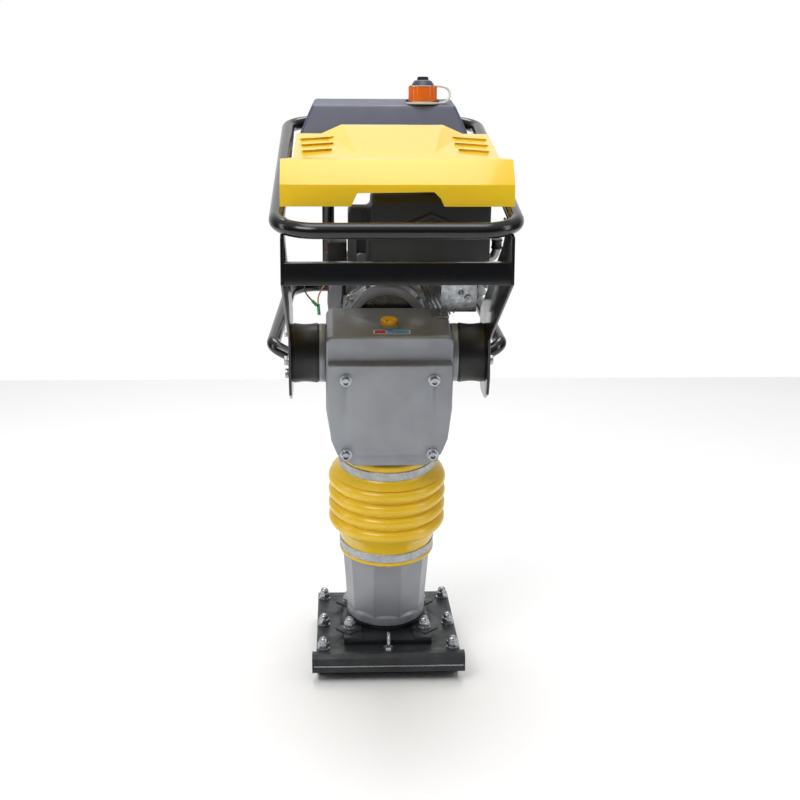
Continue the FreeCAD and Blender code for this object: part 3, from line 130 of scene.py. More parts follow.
@dataclass(frozen=True)
class Finish:
    """A finish: what the material is, and how its surface was made.

    The colour drifts in patches towards a second shade, and the roughness drifts with it.
    """

    name: str
    colour: str
    shade: str
    roughness: float
    surface: Surface
    grain_mm: float = 2.0
    depth_mm: float = 0.05
    metallic: float = 0.0
    coat: float = 0.0
    patch_mm: float = 60.0
    unevenness: float = 0.06
    translucent: float = 0.0

    def pattern(self, tree: bpy.types.NodeTree, place: bpy.types.NodeSocket) -> bpy.types.NodeSocket:
        """Makes the fine pattern of the surface as a height from 0 to 1."""
        fine = 1 / (self.grain_mm * MM)
        if self.surface is Surface.SPANGLED:
            # zinc crystals, drawn a little coarser than the real ones so that they show
            cells = add_node(tree, "TexVoronoi", {"Scale": fine}, {"Vector": place})
            return cells.outputs["Color"]
        if self.surface is Surface.LAMINATED:
            # plies lie flat, so the bands follow the height
            bands = add_node(
                tree,
                "TexWave",
                {"bands_direction": "Z", "Scale": fine / 20, "Distortion": 1.2, "Detail": 2.0},
                {"Vector": place},
            )
            return bands.outputs["Fac"]
        stretch = {
            Surface.BRUSHED: (1.0, 0.08, 0.08),
            Surface.SCUFFED: (0.18, 1.0, 0.5),
            Surface.FIBROUS: (1.0, 0.4, 1.0),
        }.get(self.surface, (1.0, 1.0, 1.0))
        along = add_node(tree, "Mapping", {"Scale": stretch}, {"Vector": place})
        detail = 4.0 if self.surface in (Surface.CAST, Surface.SCUFFED) else 1.5
        grain = add_node(
            tree,
            "TexNoise",
            {"Scale": fine, "Detail": detail, "Roughness": 0.55},
            {"Vector": along.outputs["Vector"]},
        )
        return grain.outputs["Fac"]

    def build(self) -> bpy.types.Material:
        """Makes the material, or hands back the one that was made before."""
        made = bpy.data.materials.get(self.name)
        if made:
            return made
        material = bpy.data.materials.new(self.name)
        material.use_nodes = True
        tree = material.node_tree
        tree.nodes.clear()
        place = add_node(tree, "TexCoord", {}, {}).outputs["Object"]
        patches = add_node(
            tree,
            "TexNoise",
            {"Scale": 1 / (self.patch_mm * MM), "Detail": 3.0, "Roughness": 0.6},
            {"Vector": place},
        )
        height = self.pattern(tree, place)
        drift = add_node(
            tree,
            "MapRange",
            {"From Min": 0.38, "From Max": 0.66, "To Min": 0.0, "To Max": 1.0},
            {"Value": patches.outputs["Fac"]},
        )
        colour = add_node(
            tree,
            "Mix",
            {"data_type": "RGBA", "6": linear(self.colour), "7": linear(self.shade)},
            {"0": drift.outputs["Result"]},
        )
        colour_out = colour.outputs[2]
        if self.surface in (Surface.SPANGLED, Surface.LAMINATED, Surface.SCUFFED, Surface.FIBROUS):
            sharp = add_node(
                tree,
                "MapRange",
                {"From Min": 0.35, "From Max": 0.75, "To Min": 0.92, "To Max": 1.14},
                {"Value": height},
            )
            tinted = add_node(
                tree,
                "Mix",
                {"data_type": "RGBA", "blend_type": "MULTIPLY", "0": 1.0},
                {"6": colour_out, "7": sharp.outputs["Result"]},
            )
            colour_out = tinted.outputs[2]
        dull = add_node(
            tree,
            "MapRange",
            {
                "From Min": 0.3,
                "From Max": 0.7,
                "To Min": max(0.02, self.roughness - self.unevenness),
                "To Max": self.roughness + self.unevenness,
            },
            {"Value": patches.outputs["Fac"]},
        )
        bump = add_node(tree, "Bump", {"Strength": 1.0, "Distance": self.depth_mm * MM}, {"Height": height})
        settings = {"Metallic": self.metallic, "Coat Weight": self.coat, "Coat Roughness": 0.08}
        if self.translucent:
            settings["Transmission Weight"] = self.translucent
        shader = add_node(
            tree,
            "BsdfPrincipled",
            settings,
            {
                "Base Color": colour_out,
                "Roughness": dull.outputs["Result"],
                "Normal": bump.outputs["Normal"],
            },
        )
        add_node(tree, "OutputMaterial", {}, {"Surface": shader.outputs["BSDF"]})
        return material


# Worn dark mill plate: dull, nearly black, with pale rub marks along the shoe.
WORN_PLATE = Finish(
    "worn_mill_plate", "#2E3033", "#222426", 0.42, Surface.SCUFFED,
    grain_mm=9.0, depth_mm=0.12, metallic=0.35, patch_mm=38.0, unevenness=0.12,
)
# Resin-pressed beech plies, stained dark: thin bands show at the edges.
STAINED_BOARD = Finish(
    "stained_laminated_board", "#3A332C", "#231F1B", 0.62, Surface.LAMINATED,
    grain_mm=5.0, depth_mm=0.2,
)
# Bright zinc plate on steel: mirror-like with a soft grain.
ZINC_PLATE = Finish(
    "bright_zinc_plate", "#B9BDC1", "#9CA1A6", 0.3, Surface.BRUSHED,
    grain_mm=1.6, depth_mm=0.01, metallic=0.95, patch_mm=9.0,
)
# Galvanised strip: grey with fine crystals.
GALVANISED_STRIP = Finish(
    "galvanised_strip", "#B6B9BB", "#A8ACAF", 0.42, Surface.SPANGLED,
    grain_mm=2.2, depth_mm=0.005, metallic=0.45, patch_mm=25.0,
)
# Iron casting under black paint: soft gloss over sand-cast grain.
BLACK_CASTING = Finish(
    "black_painted_casting", "#16181A", "#0D0E10", 0.4, Surface.CAST,
    grain_mm=2.6, depth_mm=0.15, coat=0.1,
)
# Silver-grey hammer enamel on cast aluminium: satin, with a fine grain.
SILVER_ENAMEL = Finish(
    "silver_grey_enamel", "#94979C", "#878A90", 0.38, Surface.CAST,
    grain_mm=2.2, depth_mm=0.04, metallic=0.4, coat=0.2, patch_mm=120.0,
)
# Yellow polyurethane bellows: soft sheen, smooth from the mould.
YELLOW_ELASTOMER = Finish(
    "yellow_elastomer", "#E9C021", "#E2B818", 0.3, Surface.MOULDED,
    grain_mm=5.0, depth_mm=0.02, coat=0.2, patch_mm=80.0, unevenness=0.03,
)
# Oiled spring wire: dark, with a dull shine.
SPRING_WIRE = Finish(
    "oiled_spring_wire", "#5C5D60", "#47484B", 0.3, Surface.BRUSHED,
    grain_mm=1.5, depth_mm=0.01, metallic=1.0,
)
# Ground and oiled gear steel: bright, with lathe grain.
GEAR_STEEL = Finish(
    "ground_gear_steel", "#A7A9AC", "#8C8E92", 0.26, Surface.BRUSHED,
    grain_mm=1.2, depth_mm=0.01, metallic=1.0,
)
# Oiled paper gasket: brown fibres.
FIBRE_GASKET = Finish("fibre_gasket", "#5D564B", "#4A443B", 0.8, Surface.FIBROUS)
# Yellow polypropylene plug: satin moulding.
YELLOW_PLUG = Finish(
    "yellow_polypropylene", "#EFB408", "#E3A500", 0.38, Surface.MOULDED,
    grain_mm=3.0, depth_mm=0.03, coat=0.1, patch_mm=12.0,
)
# Die-cast engine alloy, unpainted: pale grey with a tumbled grain.
DIE_CAST_ALLOY = Finish(
    "die_cast_alloy", "#B5B6B5", "#8F908F", 0.34, Surface.CAST,
    grain_mm=2.4, depth_mm=0.18, metallic=0.9, patch_mm=30.0, unevenness=0.1,
)
# Moulded natural rubber: matt black, with a faint brown bloom.
BLACK_RUBBER = Finish(
    "moulded_black_rubber", "#0B0C0C", "#080808", 0.44, Surface.MOULDED,
    grain_mm=2.5, patch_mm=35.0,
)
# Glass-filled nylon covers of the engine: black with a fine spark-eroded grain.
BLACK_NYLON = Finish(
    "black_filled_nylon", "#0C0C0B", "#080807", 0.42, Surface.CAST,
    grain_mm=1.6, depth_mm=0.06,
)
# Dark red stoving enamel on sheet steel.
RED_ENAMEL = Finish(
    "dark_red_enamel", "#7A1216", "#650D12", 0.3, Surface.SPRAYED,
    grain_mm=2.5, depth_mm=0.02, coat=0.4,
)
# Black gloss powder coat on steel tube: mirror sheen with a faint orange peel.
POWDER_COAT = Finish(
    "black_powder_coat", "#0B0D10", "#07080A", 0.2, Surface.SPRAYED,
    grain_mm=3.2, depth_mm=0.01, coat=0.2, patch_mm=90.0, unevenness=0.04,
)
# Glossy yellow ABS of the top cover: clean highlights, slightly wavy from the mould.
YELLOW_ABS = Finish(
    "yellow_gloss_abs", "#EBC322", "#E6BD1C", 0.27, Surface.MOULDED,
    grain_mm=40.0, depth_mm=0.03, coat=0.5, patch_mm=200.0, unevenness=0.02,
)
# Rotomoulded polyethylene tank: blue-grey, satin, with a soft pebble grain.
TANK_POLYETHYLENE = Finish(
    "blue_grey_polyethylene", "#4E5266", "#474B5F", 0.4, Surface.CAST,
    grain_mm=2.6, depth_mm=0.04, patch_mm=90.0,
)
# Orange polypropylene cap ring: satin.
ORANGE_POLYPROPYLENE = Finish(
    "orange_polypropylene", "#E8751C", "#DD6A14", 0.36, Surface.MOULDED,
    depth_mm=0.02,
)
# Charcoal cap centre, the same plastic as the tank but darker.
CHARCOAL_POLYPROPYLENE = Finish(
    "charcoal_polypropylene", "#3E4350", "#343945", 0.36, Surface.MOULDED,
    depth_mm=0.03,
)
# Milky polyethylene tether: light passes through it.
MILKY_POLYETHYLENE = Finish(
    "milky_polyethylene", "#EDEBE4", "#E3E1DA", 0.35, Surface.MOULDED,
    depth_mm=0.02, patch_mm=20.0, unevenness=0.04, translucent=0.35,
)
# Wire covers: soft vinyl.
BLACK_VINYL = Finish("black_vinyl", "#1A1A1C", "#121214", 0.42, Surface.MOULDED, grain_mm=1.5, depth_mm=0.01)
TAN_VINYL = Finish("tan_vinyl", "#B98E58", "#AB8150", 0.42, Surface.MOULDED, grain_mm=1.5, depth_mm=0.01)
GREEN_VINYL = Finish(
    "green_vinyl", "#2E9A4E", "#268844", 0.3, Surface.MOULDED,
    grain_mm=1.5, depth_mm=0.01, coat=0.2,
)
# Printed vinyl label under a clear film.
LABEL_WHITE = Finish(
    "label_white_vinyl", "#E8E8EC", "#DEDEE4", 0.25, Surface.MOULDED,
    grain_mm=4.0, depth_mm=0.005, coat=0.4,
)
LABEL_RED = Finish(
    "label_red_ink", "#C8343A", "#BE2E34", 0.25, Surface.MOULDED,
    grain_mm=4.0, depth_mm=0.005, coat=0.4,
)
LABEL_BLUE = Finish(
    "label_blue_ink", "#4FA0DC", "#4697D4", 0.25, Surface.MOULDED,
    grain_mm=4.0, depth_mm=0.005, coat=0.4,
)
# Weld metal: lumpy steel under the black coat.
COATED_WELD = Finish(
    "coated_weld", "#1A1B1E", "#131416", 0.3, Surface.CAST,
    grain_mm=3.0, depth_mm=0.2, coat=0.3, patch_mm=12.0,
)
# Braided starter rope: white polyester, a little grubby.
ROPE_POLYESTER = Finish(
    "braided_polyester", "#CFCBBF", "#B9B5A8", 0.7, Surface.FIBROUS,
    grain_mm=1.5, depth_mm=0.2,
)
# Pale matt floor of the studio.
STUDIO_FLOOR = Finish(
    "pale_studio_floor", "#FAFAFA", "#F8F8F8", 0.6, Surface.MOULDED,
    grain_mm=40.0, depth_mm=0.0, patch_mm=900.0, unevenness=0.02,
)


# ---------------------------------------------------------------- modelling moves


def clear_selection() -> None:
    """Leaves edit mode and deselects every object."""
    if bpy.context.object and bpy.context.object.mode != "OBJECT":
        bpy.ops.object.mode_set(mode="OBJECT")
    bpy.ops.object.select_all(action="DESELECT")


def take(piece: bpy.types.Object) -> bpy.types.Object:
    """Makes a piece the only selected one and the active one."""
    clear_selection()
    piece.select_set(True)
    bpy.context.view_layer.objects.active = piece
    return piece


@contextmanager
def shaping(piece: bpy.types.Object) -> Iterator[None]:
    """Opens a piece in edit mode with nothing selected, and closes it again."""
    take(piece)
    bpy.ops.object.mode_set(mode="EDIT")
    bpy.ops.mesh.select_all(action="DESELECT")
    yield
    bpy.ops.object.mode_set(mode="OBJECT")


def pick_faces(piece: bpy.types.Object, test: Callable[[Vector, Vector], bool]) -> None:
    """Selects the faces whose middle and normal pass a test, in edit mode."""
    mesh = bmesh.from_edit_mesh(piece.data)
    mesh.normal_update()
    bpy.ops.mesh.select_mode(type="FACE")
    for face in mesh.faces:
        face.select_set(test(face.calc_center_median(), face.normal))
    bmesh.update_edit_mesh(piece.data)


def pick_edges(piece: bpy.types.Object, test: Callable[[Vector, Vector], bool]) -> None:
    """Selects the edges whose middle and direction pass a test, in edit mode."""
    mesh = bmesh.from_edit_mesh(piece.data)
    bpy.ops.mesh.select_mode(type="EDGE")
    for edge in mesh.edges:
        first, last = edge.verts[0].co, edge.verts[1].co
        edge.select_set(test((first + last) / 2, (last - first).normalized()))
    bmesh.update_edit_mesh(piece.data)


def extrude(move: Point) -> None:
    """Extrudes the selection by a move."""
    bpy.ops.mesh.extrude_region_move(TRANSFORM_OT_translate={"value": tuple(move)})


def settle(piece: bpy.types.Object) -> bpy.types.Object:
    """Applies a piece's place, turn and scale to its mesh."""
    take(piece)
    bpy.ops.object.transform_apply(location=True, rotation=True, scale=True)
    return piece


def in_mm(points: Sequence[Point]) -> list[tuple[float, ...]]:
    """Turns points written in millimetres to metres."""
    return [tuple(number * MM if number else 0 for number in point) for point in points]


def block(name: str, size: Point, at: Point) -> bpy.types.Object:
    """Adds a block of a size, centred on a place.

    Args:
        name: The piece's name.
        size: Its width, depth and height.
        at: Its middle.

    Returns:
        The new piece, with its place in its mesh.
    """
    clear_selection()
    bpy.ops.mesh.primitive_cube_add(size=1, location=at, scale=size)
    piece = bpy.context.object
    piece.name = name
    return settle(piece)


AXIS_TURN = {"X": (0, math.pi / 2, 0), "Y": (-math.pi / 2, 0, 0), "Z": (0, 0, 0)}


def drum(
    name: str, radius: float, length: float, at: Point, axis: str = "Z", sides: int = 48
) -> bpy.types.Object:
    """Adds a cylinder centred on a place along an axis.

    Args:
        name: The piece's name.
        radius: Its radius.
        length: Its length along the axis.
        at: Its middle.
        axis: "X", "Y" or "Z".
        sides: How many sides its round has.

    Returns:
        The new piece, with its place in its mesh.
    """
    clear_selection()
    bpy.ops.mesh.primitive_cylinder_add(
        vertices=sides, radius=radius, depth=length, location=at, rotation=AXIS_TURN[axis]
    )
    piece = bpy.context.object
    piece.name = name
    return settle(piece)


def modify(piece: bpy.types.Object, kind: str, **settings: object) -> bpy.types.Object:
    """Adds a modifier to a piece and applies it."""
    take(piece)
    modifier = piece.modifiers.new(kind.lower(), kind)
    for name, value in settings.items():
        setattr(modifier, name, value)
    bpy.ops.object.modifier_apply(modifier=modifier.name)
    return piece


def round_edges(
    piece: bpy.types.Object, width: float, segments: int = 2, above: float = 30
) -> bpy.types.Object:
    """Rounds the edges of a piece that turn by more than an angle in degrees."""
    return modify(
        piece,
        "BEVEL",
        width=width,
        segments=segments,
        limit_method="ANGLE",
        angle_limit=math.radians(above),
        use_clamp_overlap=True,
    )


def revolve(name: str, outline: Sequence[Point], steps: int = 96) -> bpy.types.Object:
    """Spins an outline of (radius, height) points about the Z axis into a closed skin.

    Args:
        name: The piece's name.
        outline: The corners of the section in order; it closes on itself.
        steps: How many sides the round has.

    Returns:
        The new piece.
    """
    clear_selection()
    radius, height = outline[0]
    bpy.ops.mesh.primitive_plane_add(size=0.001, location=(radius, 0, height))
    piece = settle(bpy.context.object)
    piece.name = name
    with shaping(piece):
        bpy.ops.mesh.select_mode(type="VERT")
        bpy.ops.mesh.select_all(action="SELECT")
        bpy.ops.mesh.merge(type="CENTER")
        for (radius, height), (last_radius, last_height) in zip(outline[1:], outline):
            move = (radius - last_radius, 0, height - last_height)
            bpy.ops.mesh.extrude_vertices_move(TRANSFORM_OT_translate={"value": move})
        mesh = bmesh.from_edit_mesh(piece.data)
        mesh.verts.ensure_lookup_table()
        ends = [vertex for vertex in mesh.verts if len(vertex.link_edges) == 1]
        if len(ends) == 2 and outline[0][0] > TOUCHING:
            bpy.ops.mesh.select_all(action="DESELECT")
            for vertex in ends:
                vertex.select_set(True)
            bmesh.update_edit_mesh(piece.data)
            bpy.ops.mesh.edge_face_add()
        bpy.ops.mesh.select_all(action="SELECT")
        bpy.ops.mesh.spin(steps=steps, angle=2 * math.pi, center=(0, 0, 0), axis=(0, 0, 1))
        bpy.ops.mesh.select_all(action="SELECT")
        bpy.ops.mesh.remove_doubles(threshold=TOUCHING)
        bpy.ops.mesh.normals_make_consistent(inside=False)
    return piece


def place(piece: bpy.types.Object, matrix: Matrix) -> bpy.types.Object:
    """Moves a piece by a matrix and puts that in its mesh."""
    piece.matrix_world = matrix @ piece.matrix_world
    return settle(piece)


def twin(piece: bpy.types.Object, name: str, matrix: Matrix) -> bpy.types.Object:
    """Copies a piece, mesh and all, and moves the copy by a matrix."""
    take(piece)
    bpy.ops.object.duplicate(linked=False)
    copy = bpy.context.object
    copy.name = name
    return place(copy, matrix)


def join(pieces: Sequence[bpy.types.Object], name: str) -> bpy.types.Object:
    """Joins pieces into one mesh under one name."""
    clear_selection()
    for piece in pieces:
        piece.select_set(True)
    bpy.context.view_layer.objects.active = pieces[0]
    if len(pieces) > 1:
        bpy.ops.object.join()
    pieces[0].name = name
    return pieces[0]


def rod(
    name: str, points: Sequence[Point], radius: float, closed: bool = False, sides: int = 4
) -> bpy.types.Object:
    """Lays a round rod along a smooth line through control points, as a mesh.

    Args:
        name: The piece's name.
        points: The line's control points.
        radius: The rod's radius.
        closed: Whether the line runs back into its start.
        sides: The curve's bevel resolution.

    Returns:
        The rod as a mesh.
    """
    line = bpy.data.curves.new(name, "CURVE")
    line.dimensions = "3D"
    line.bevel_depth = radius
    line.bevel_resolution = sides
    line.use_fill_caps = True
    strand = line.splines.new("NURBS")
    strand.points.add(len(points) - 1)
    for knot, point in zip(strand.points, points):
        knot.co = (*point, 1)
    strand.order_u = 3
    strand.use_endpoint_u = not closed
    strand.use_cyclic_u = closed
    strand.resolution_u = 8
    piece = bpy.data.objects.new(name, line)
    bpy.context.scene.collection.objects.link(piece)
    take(piece)
    bpy.ops.object.convert(target="MESH")
    return bpy.context.object


def soften(node: str, name: str, width: float, segments: int = 2, above: float = 28) -> bpy.types.Object:
    """Copies a CAD node, merges its loose triangles to flat faces and rounds its edges.

    Args:
        node: The CAD node.
        name: The copy's name.
        width: How wide the rounding is.
        segments: How many strips a rounding has.
        above: The least turn of an edge that is rounded, in degrees.

    Returns:
        The copy, which still has to be seated on its body.
    """
    source = frame["nodes"][node]
    piece = bpy.data.objects.new(name, source.data.copy())
    bpy.context.scene.collection.objects.link(piece)
    with shaping(piece):
        bpy.ops.mesh.select_all(action="SELECT")
        bpy.ops.mesh.remove_doubles(threshold=TOUCHING)
        bpy.ops.mesh.dissolve_limited(angle_limit=math.radians(0.6), use_dissolve_boundaries=False)
    if piece.data.has_custom_normals:
        bpy.ops.mesh.customdata_custom_splitnormals_clear()
    return round_edges(piece, width, segments, above)


def seat(
    piece: bpy.types.Object,
    body: str,
    finish: Finish,
    replaced: Sequence[str] = (),
    smooth: float = 35,
) -> bpy.types.Object:
    """Dresses a finished piece and seats it on its CAD body.

    Args:
        piece: The piece, in place in the frame.
        body: The CAD body that it moves with.
        finish: Its finish.
        replaced: The CAD nodes that it stands for.
        smooth: Edges that turn by less than this, in degrees, are shaded smooth.

    Returns:
        The piece.
    """
    take(piece)
    bpy.ops.object.shade_smooth_by_angle(angle=math.radians(smooth))
    piece.data.materials.clear()
    piece.data.materials.append(finish.build())
    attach(piece, body)
    if replaced:
        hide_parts(*replaced)
    LOG.info("%s on %s, %s", piece.name, body, finish.name)
    return piece


def dress(finish: Finish, *nodes: str) -> None:
    """Gives CAD nodes a finish of their own."""
    for node in nodes:
        slots = frame["nodes"][node].data.materials
        slots.clear()
        slots.append(finish.build())
        LOG.info("%s keeps its CAD mesh, %s", node, finish.name)


def centre(node: str) -> Vector:
    """The middle of a CAD node's box."""
    low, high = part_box(node)
    return (low + high) / 2


# ---------------------------------------------------------------- the leaning leg


@dataclass(frozen=True)
class LegAxes:
    """The frame of the leaning leg: its foot, and the directions up and back along it."""

    foot: Vector
    up: Vector
    back: Vector

    @classmethod
    def from_joints(cls, joints: Sequence[dict], crank_level: float, crank_back: float) -> "LegAxes":
        """Reads the frame of the leg from the stroke and the crank shaft.

        Args:
            joints: The record's joints.
            crank_level: How far up the leg the crank shaft lies.
            crank_back: How far back the shaft joint's point lies.

        Returns:
            The leg's frame.
        """
        by_name = {joint["name"]: joint for joint in joints}
        up = Vector(by_name["leg_stroke"]["axis"]).normalized()
        back = Vector(by_name["crank_turn"]["axis"]).normalized()
        crank = Vector(by_name["crank_turn"]["pos_m"])
        return cls(crank - up * crank_level - back * crank_back, up, back)

    @property
    def matrix(self) -> Matrix:
        """Takes a piece drawn upright about the leg to its leaning place."""
        across = self.back.cross(self.up)
        turn = Matrix((across, self.back, self.up)).transposed().to_4x4()
        return Matrix.Translation(self.foot) @ turn

    def point(self, across: float, back: float, up: float) -> Vector:
        """A place on the leg, in the row frame."""
        return self.matrix @ Vector((across, back, up))


# ---------------------------------------------------------------- shoe


@dataclass
class Shoe:
    """The wooden-cored shoe with its steel plates, studs, flange and lifting eye."""

    leg: LegAxes
    stud_radius: float = 6 * MM
    nut_across: float = 20 * MM
    weld_radius: float = 1.5 * MM
    pad_radius: float = 33 * MM
    pad_high: float = 2.4 * MM
    flange_top: float = 70 * MM

    def acorn_nut(self, name: str) -> bpy.types.Object:
        """Models a domed nut on its flat washer and spring washer, standing on z = 0."""
        flat = drum("flat_washer", self.stud_radius * 2, 1.6 * MM, (0, 0, 0.8 * MM), sides=40)
        round_edges(flat, 0.4 * MM, 2)
        spring = drum("spring_washer", self.stud_radius * 1.55, 1.9 * MM, (0, 0, 2.5 * MM), sides=40)
        round_edges(spring, 0.3 * MM, 1)
        across, high = self.nut_across / math.sqrt(3), 9 * MM
        nut = drum("hexagon", across, high, (0, 0, 3.4 * MM + high / 2), sides=6)
        round_edges(nut, 0.8 * MM, 2)
        top = 3.4 * MM + high
        ball = self.stud_radius * 1.38
        dome = [
            (0, top - 1 * MM),
            (ball * 1.08, top - 1 * MM),
            (ball * 1.08, top + 0.6 * MM),
            (ball, top + 1 * MM),
        ]
        for step in range(1, 9):
            turn = math.pi / 2 * step / 8
            dome.append((ball * math.cos(turn), top + 2.6 * MM + ball * math.sin(turn)))
        crown = revolve("crown", dome[:-1] + [(0, dome[-1][1])], steps=32)
        return join([flat, spring, nut, crown], name)

    def nuts(self) -> None:
        """Puts an acorn nut over each stud, turned a little differently on each."""
        for node in ("shoe_bolts", "flange_bolts"):
            pattern = self.acorn_nut(f"{node}_pattern")
            copies = []
            for index, place_at in enumerate(stud_places(node)):
                level = place_at.z + (self.pad_high if node == "flange_bolts" else 0)
                turn = Matrix.Rotation(0.37 * (index + 1), 4, "Z")
                copies.append(
                    twin(
                        pattern,
                        f"{node}_{index}",
                        Matrix.Translation((place_at.x, place_at.y, level)) @ turn,
                    )
                )
                reach = drum(
                    "stud", self.stud_radius, 26 * MM, (place_at.x, place_at.y, level - 10 * MM), sides=24
                )
                copies.append(reach)
            bpy.data.objects.remove(pattern)
            seat(join(copies, f"{node}_acorn_nuts"), "foot", ZINC_PLATE, [node])

    def plates(self) -> None:
        """Rounds the edges of the sole, the board and the top plate."""
        sole = soften("sole_plate", "sole_plate_rolled", 1.2 * MM)
        seat(sole, "foot", WORN_PLATE, ["sole_plate"])
        top = soften("shoe_top_plate", "shoe_top_plate_rolled", 1.6 * MM, 3)
        seat(top, "foot", WORN_PLATE, ["shoe_top_plate"])
        board = soften("shoe_board", "shoe_board_planed", 0.8 * MM, 1)
        seat(board, "foot", STAINED_BOARD, ["shoe_board"])

    def flange(self) -> None:
        """Softens the cast flange, and adds a low diamond pad round each of its studs."""
        cast = soften("foot_flange", "foot_flange_cast", 1.5 * MM, 3, 25)
        seat(cast, "foot", BLACK_CASTING, ["foot_flange"])
        pads = []
        for spot in stud_places("flange_bolts"):
            pad = drum("pad", self.pad_radius, 2 * self.pad_high, (0, 0, 0), sides=4)
            round_edges(pad, 1.2 * MM, 3)
            stretch = Matrix.Diagonal((0.82, 1.0, 1.0, 1.0))
            pads.append(place(pad, Matrix.Translation((spot.x, spot.y, self.flange_top)) @ stretch))
        seat(join(pads, "flange_pads"), "foot", BLACK_CASTING)

    def seam(self) -> None:
        """Runs the weld bead along the seam between the sole and the top plate."""
        low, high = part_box("shoe_top_plate")
        level = low.z
        points = []
        count = 90
        for step in range(count + 1):
            across = low.x + 3 * MM + (high.x - low.x - 6 * MM) * step / count
            ripple = 0.25 * MM * math.sin(step * 1.9)
            points.append((across, low.y - 0.5 * MM + ripple, level + ripple))
        seat(rod("toe_weld", points, self.weld_radius), "foot", GEAR_STEEL)

    def eye(self) -> None:
        """Dresses the lifting eye."""
        dress(ZINC_PLATE, "eye_bolt")

    def build(self) -> None:
        """Builds the shoe."""
        self.plates()
        self.flange()
        self.nuts()
        self.seam()
        self.eye()


def stud_places(node: str) -> list[Vector]:
    """Finds where the studs of a node stand, from the islands of its mesh.

    Args:
        node: The CAD node that holds the studs.

    Returns:
        The axis of each stud, at the level of the seat that its washer lies on.
    """
    found: list[list[Vector]] = []
    for vertex in frame["nodes"][node].data.vertices:
        for stud in found:
            middle = stud[0]
            if (vertex.co.xy - middle.xy).length < 26 * MM:
                stud.append(vertex.co.copy())
                break
        else:
            found.append([vertex.co.copy()])
    places = []
    for stud in found:
        low = Vector(tuple(min(point[axis] for point in stud) for axis in range(3)))
        high = Vector(tuple(max(point[axis] for point in stud) for axis in range(3)))
        seat_level = min(point.z for point in stud if (point.xy - ((low + high) / 2).xy).length > 11 * MM)
        places.append(Vector(((low.x + high.x) / 2, (low.y + high.y) / 2, seat_level)))
    return sorted(places, key=lambda spot: (round(spot.x, 3), round(spot.y, 3)))


# ---------------------------------------------------------------- leg


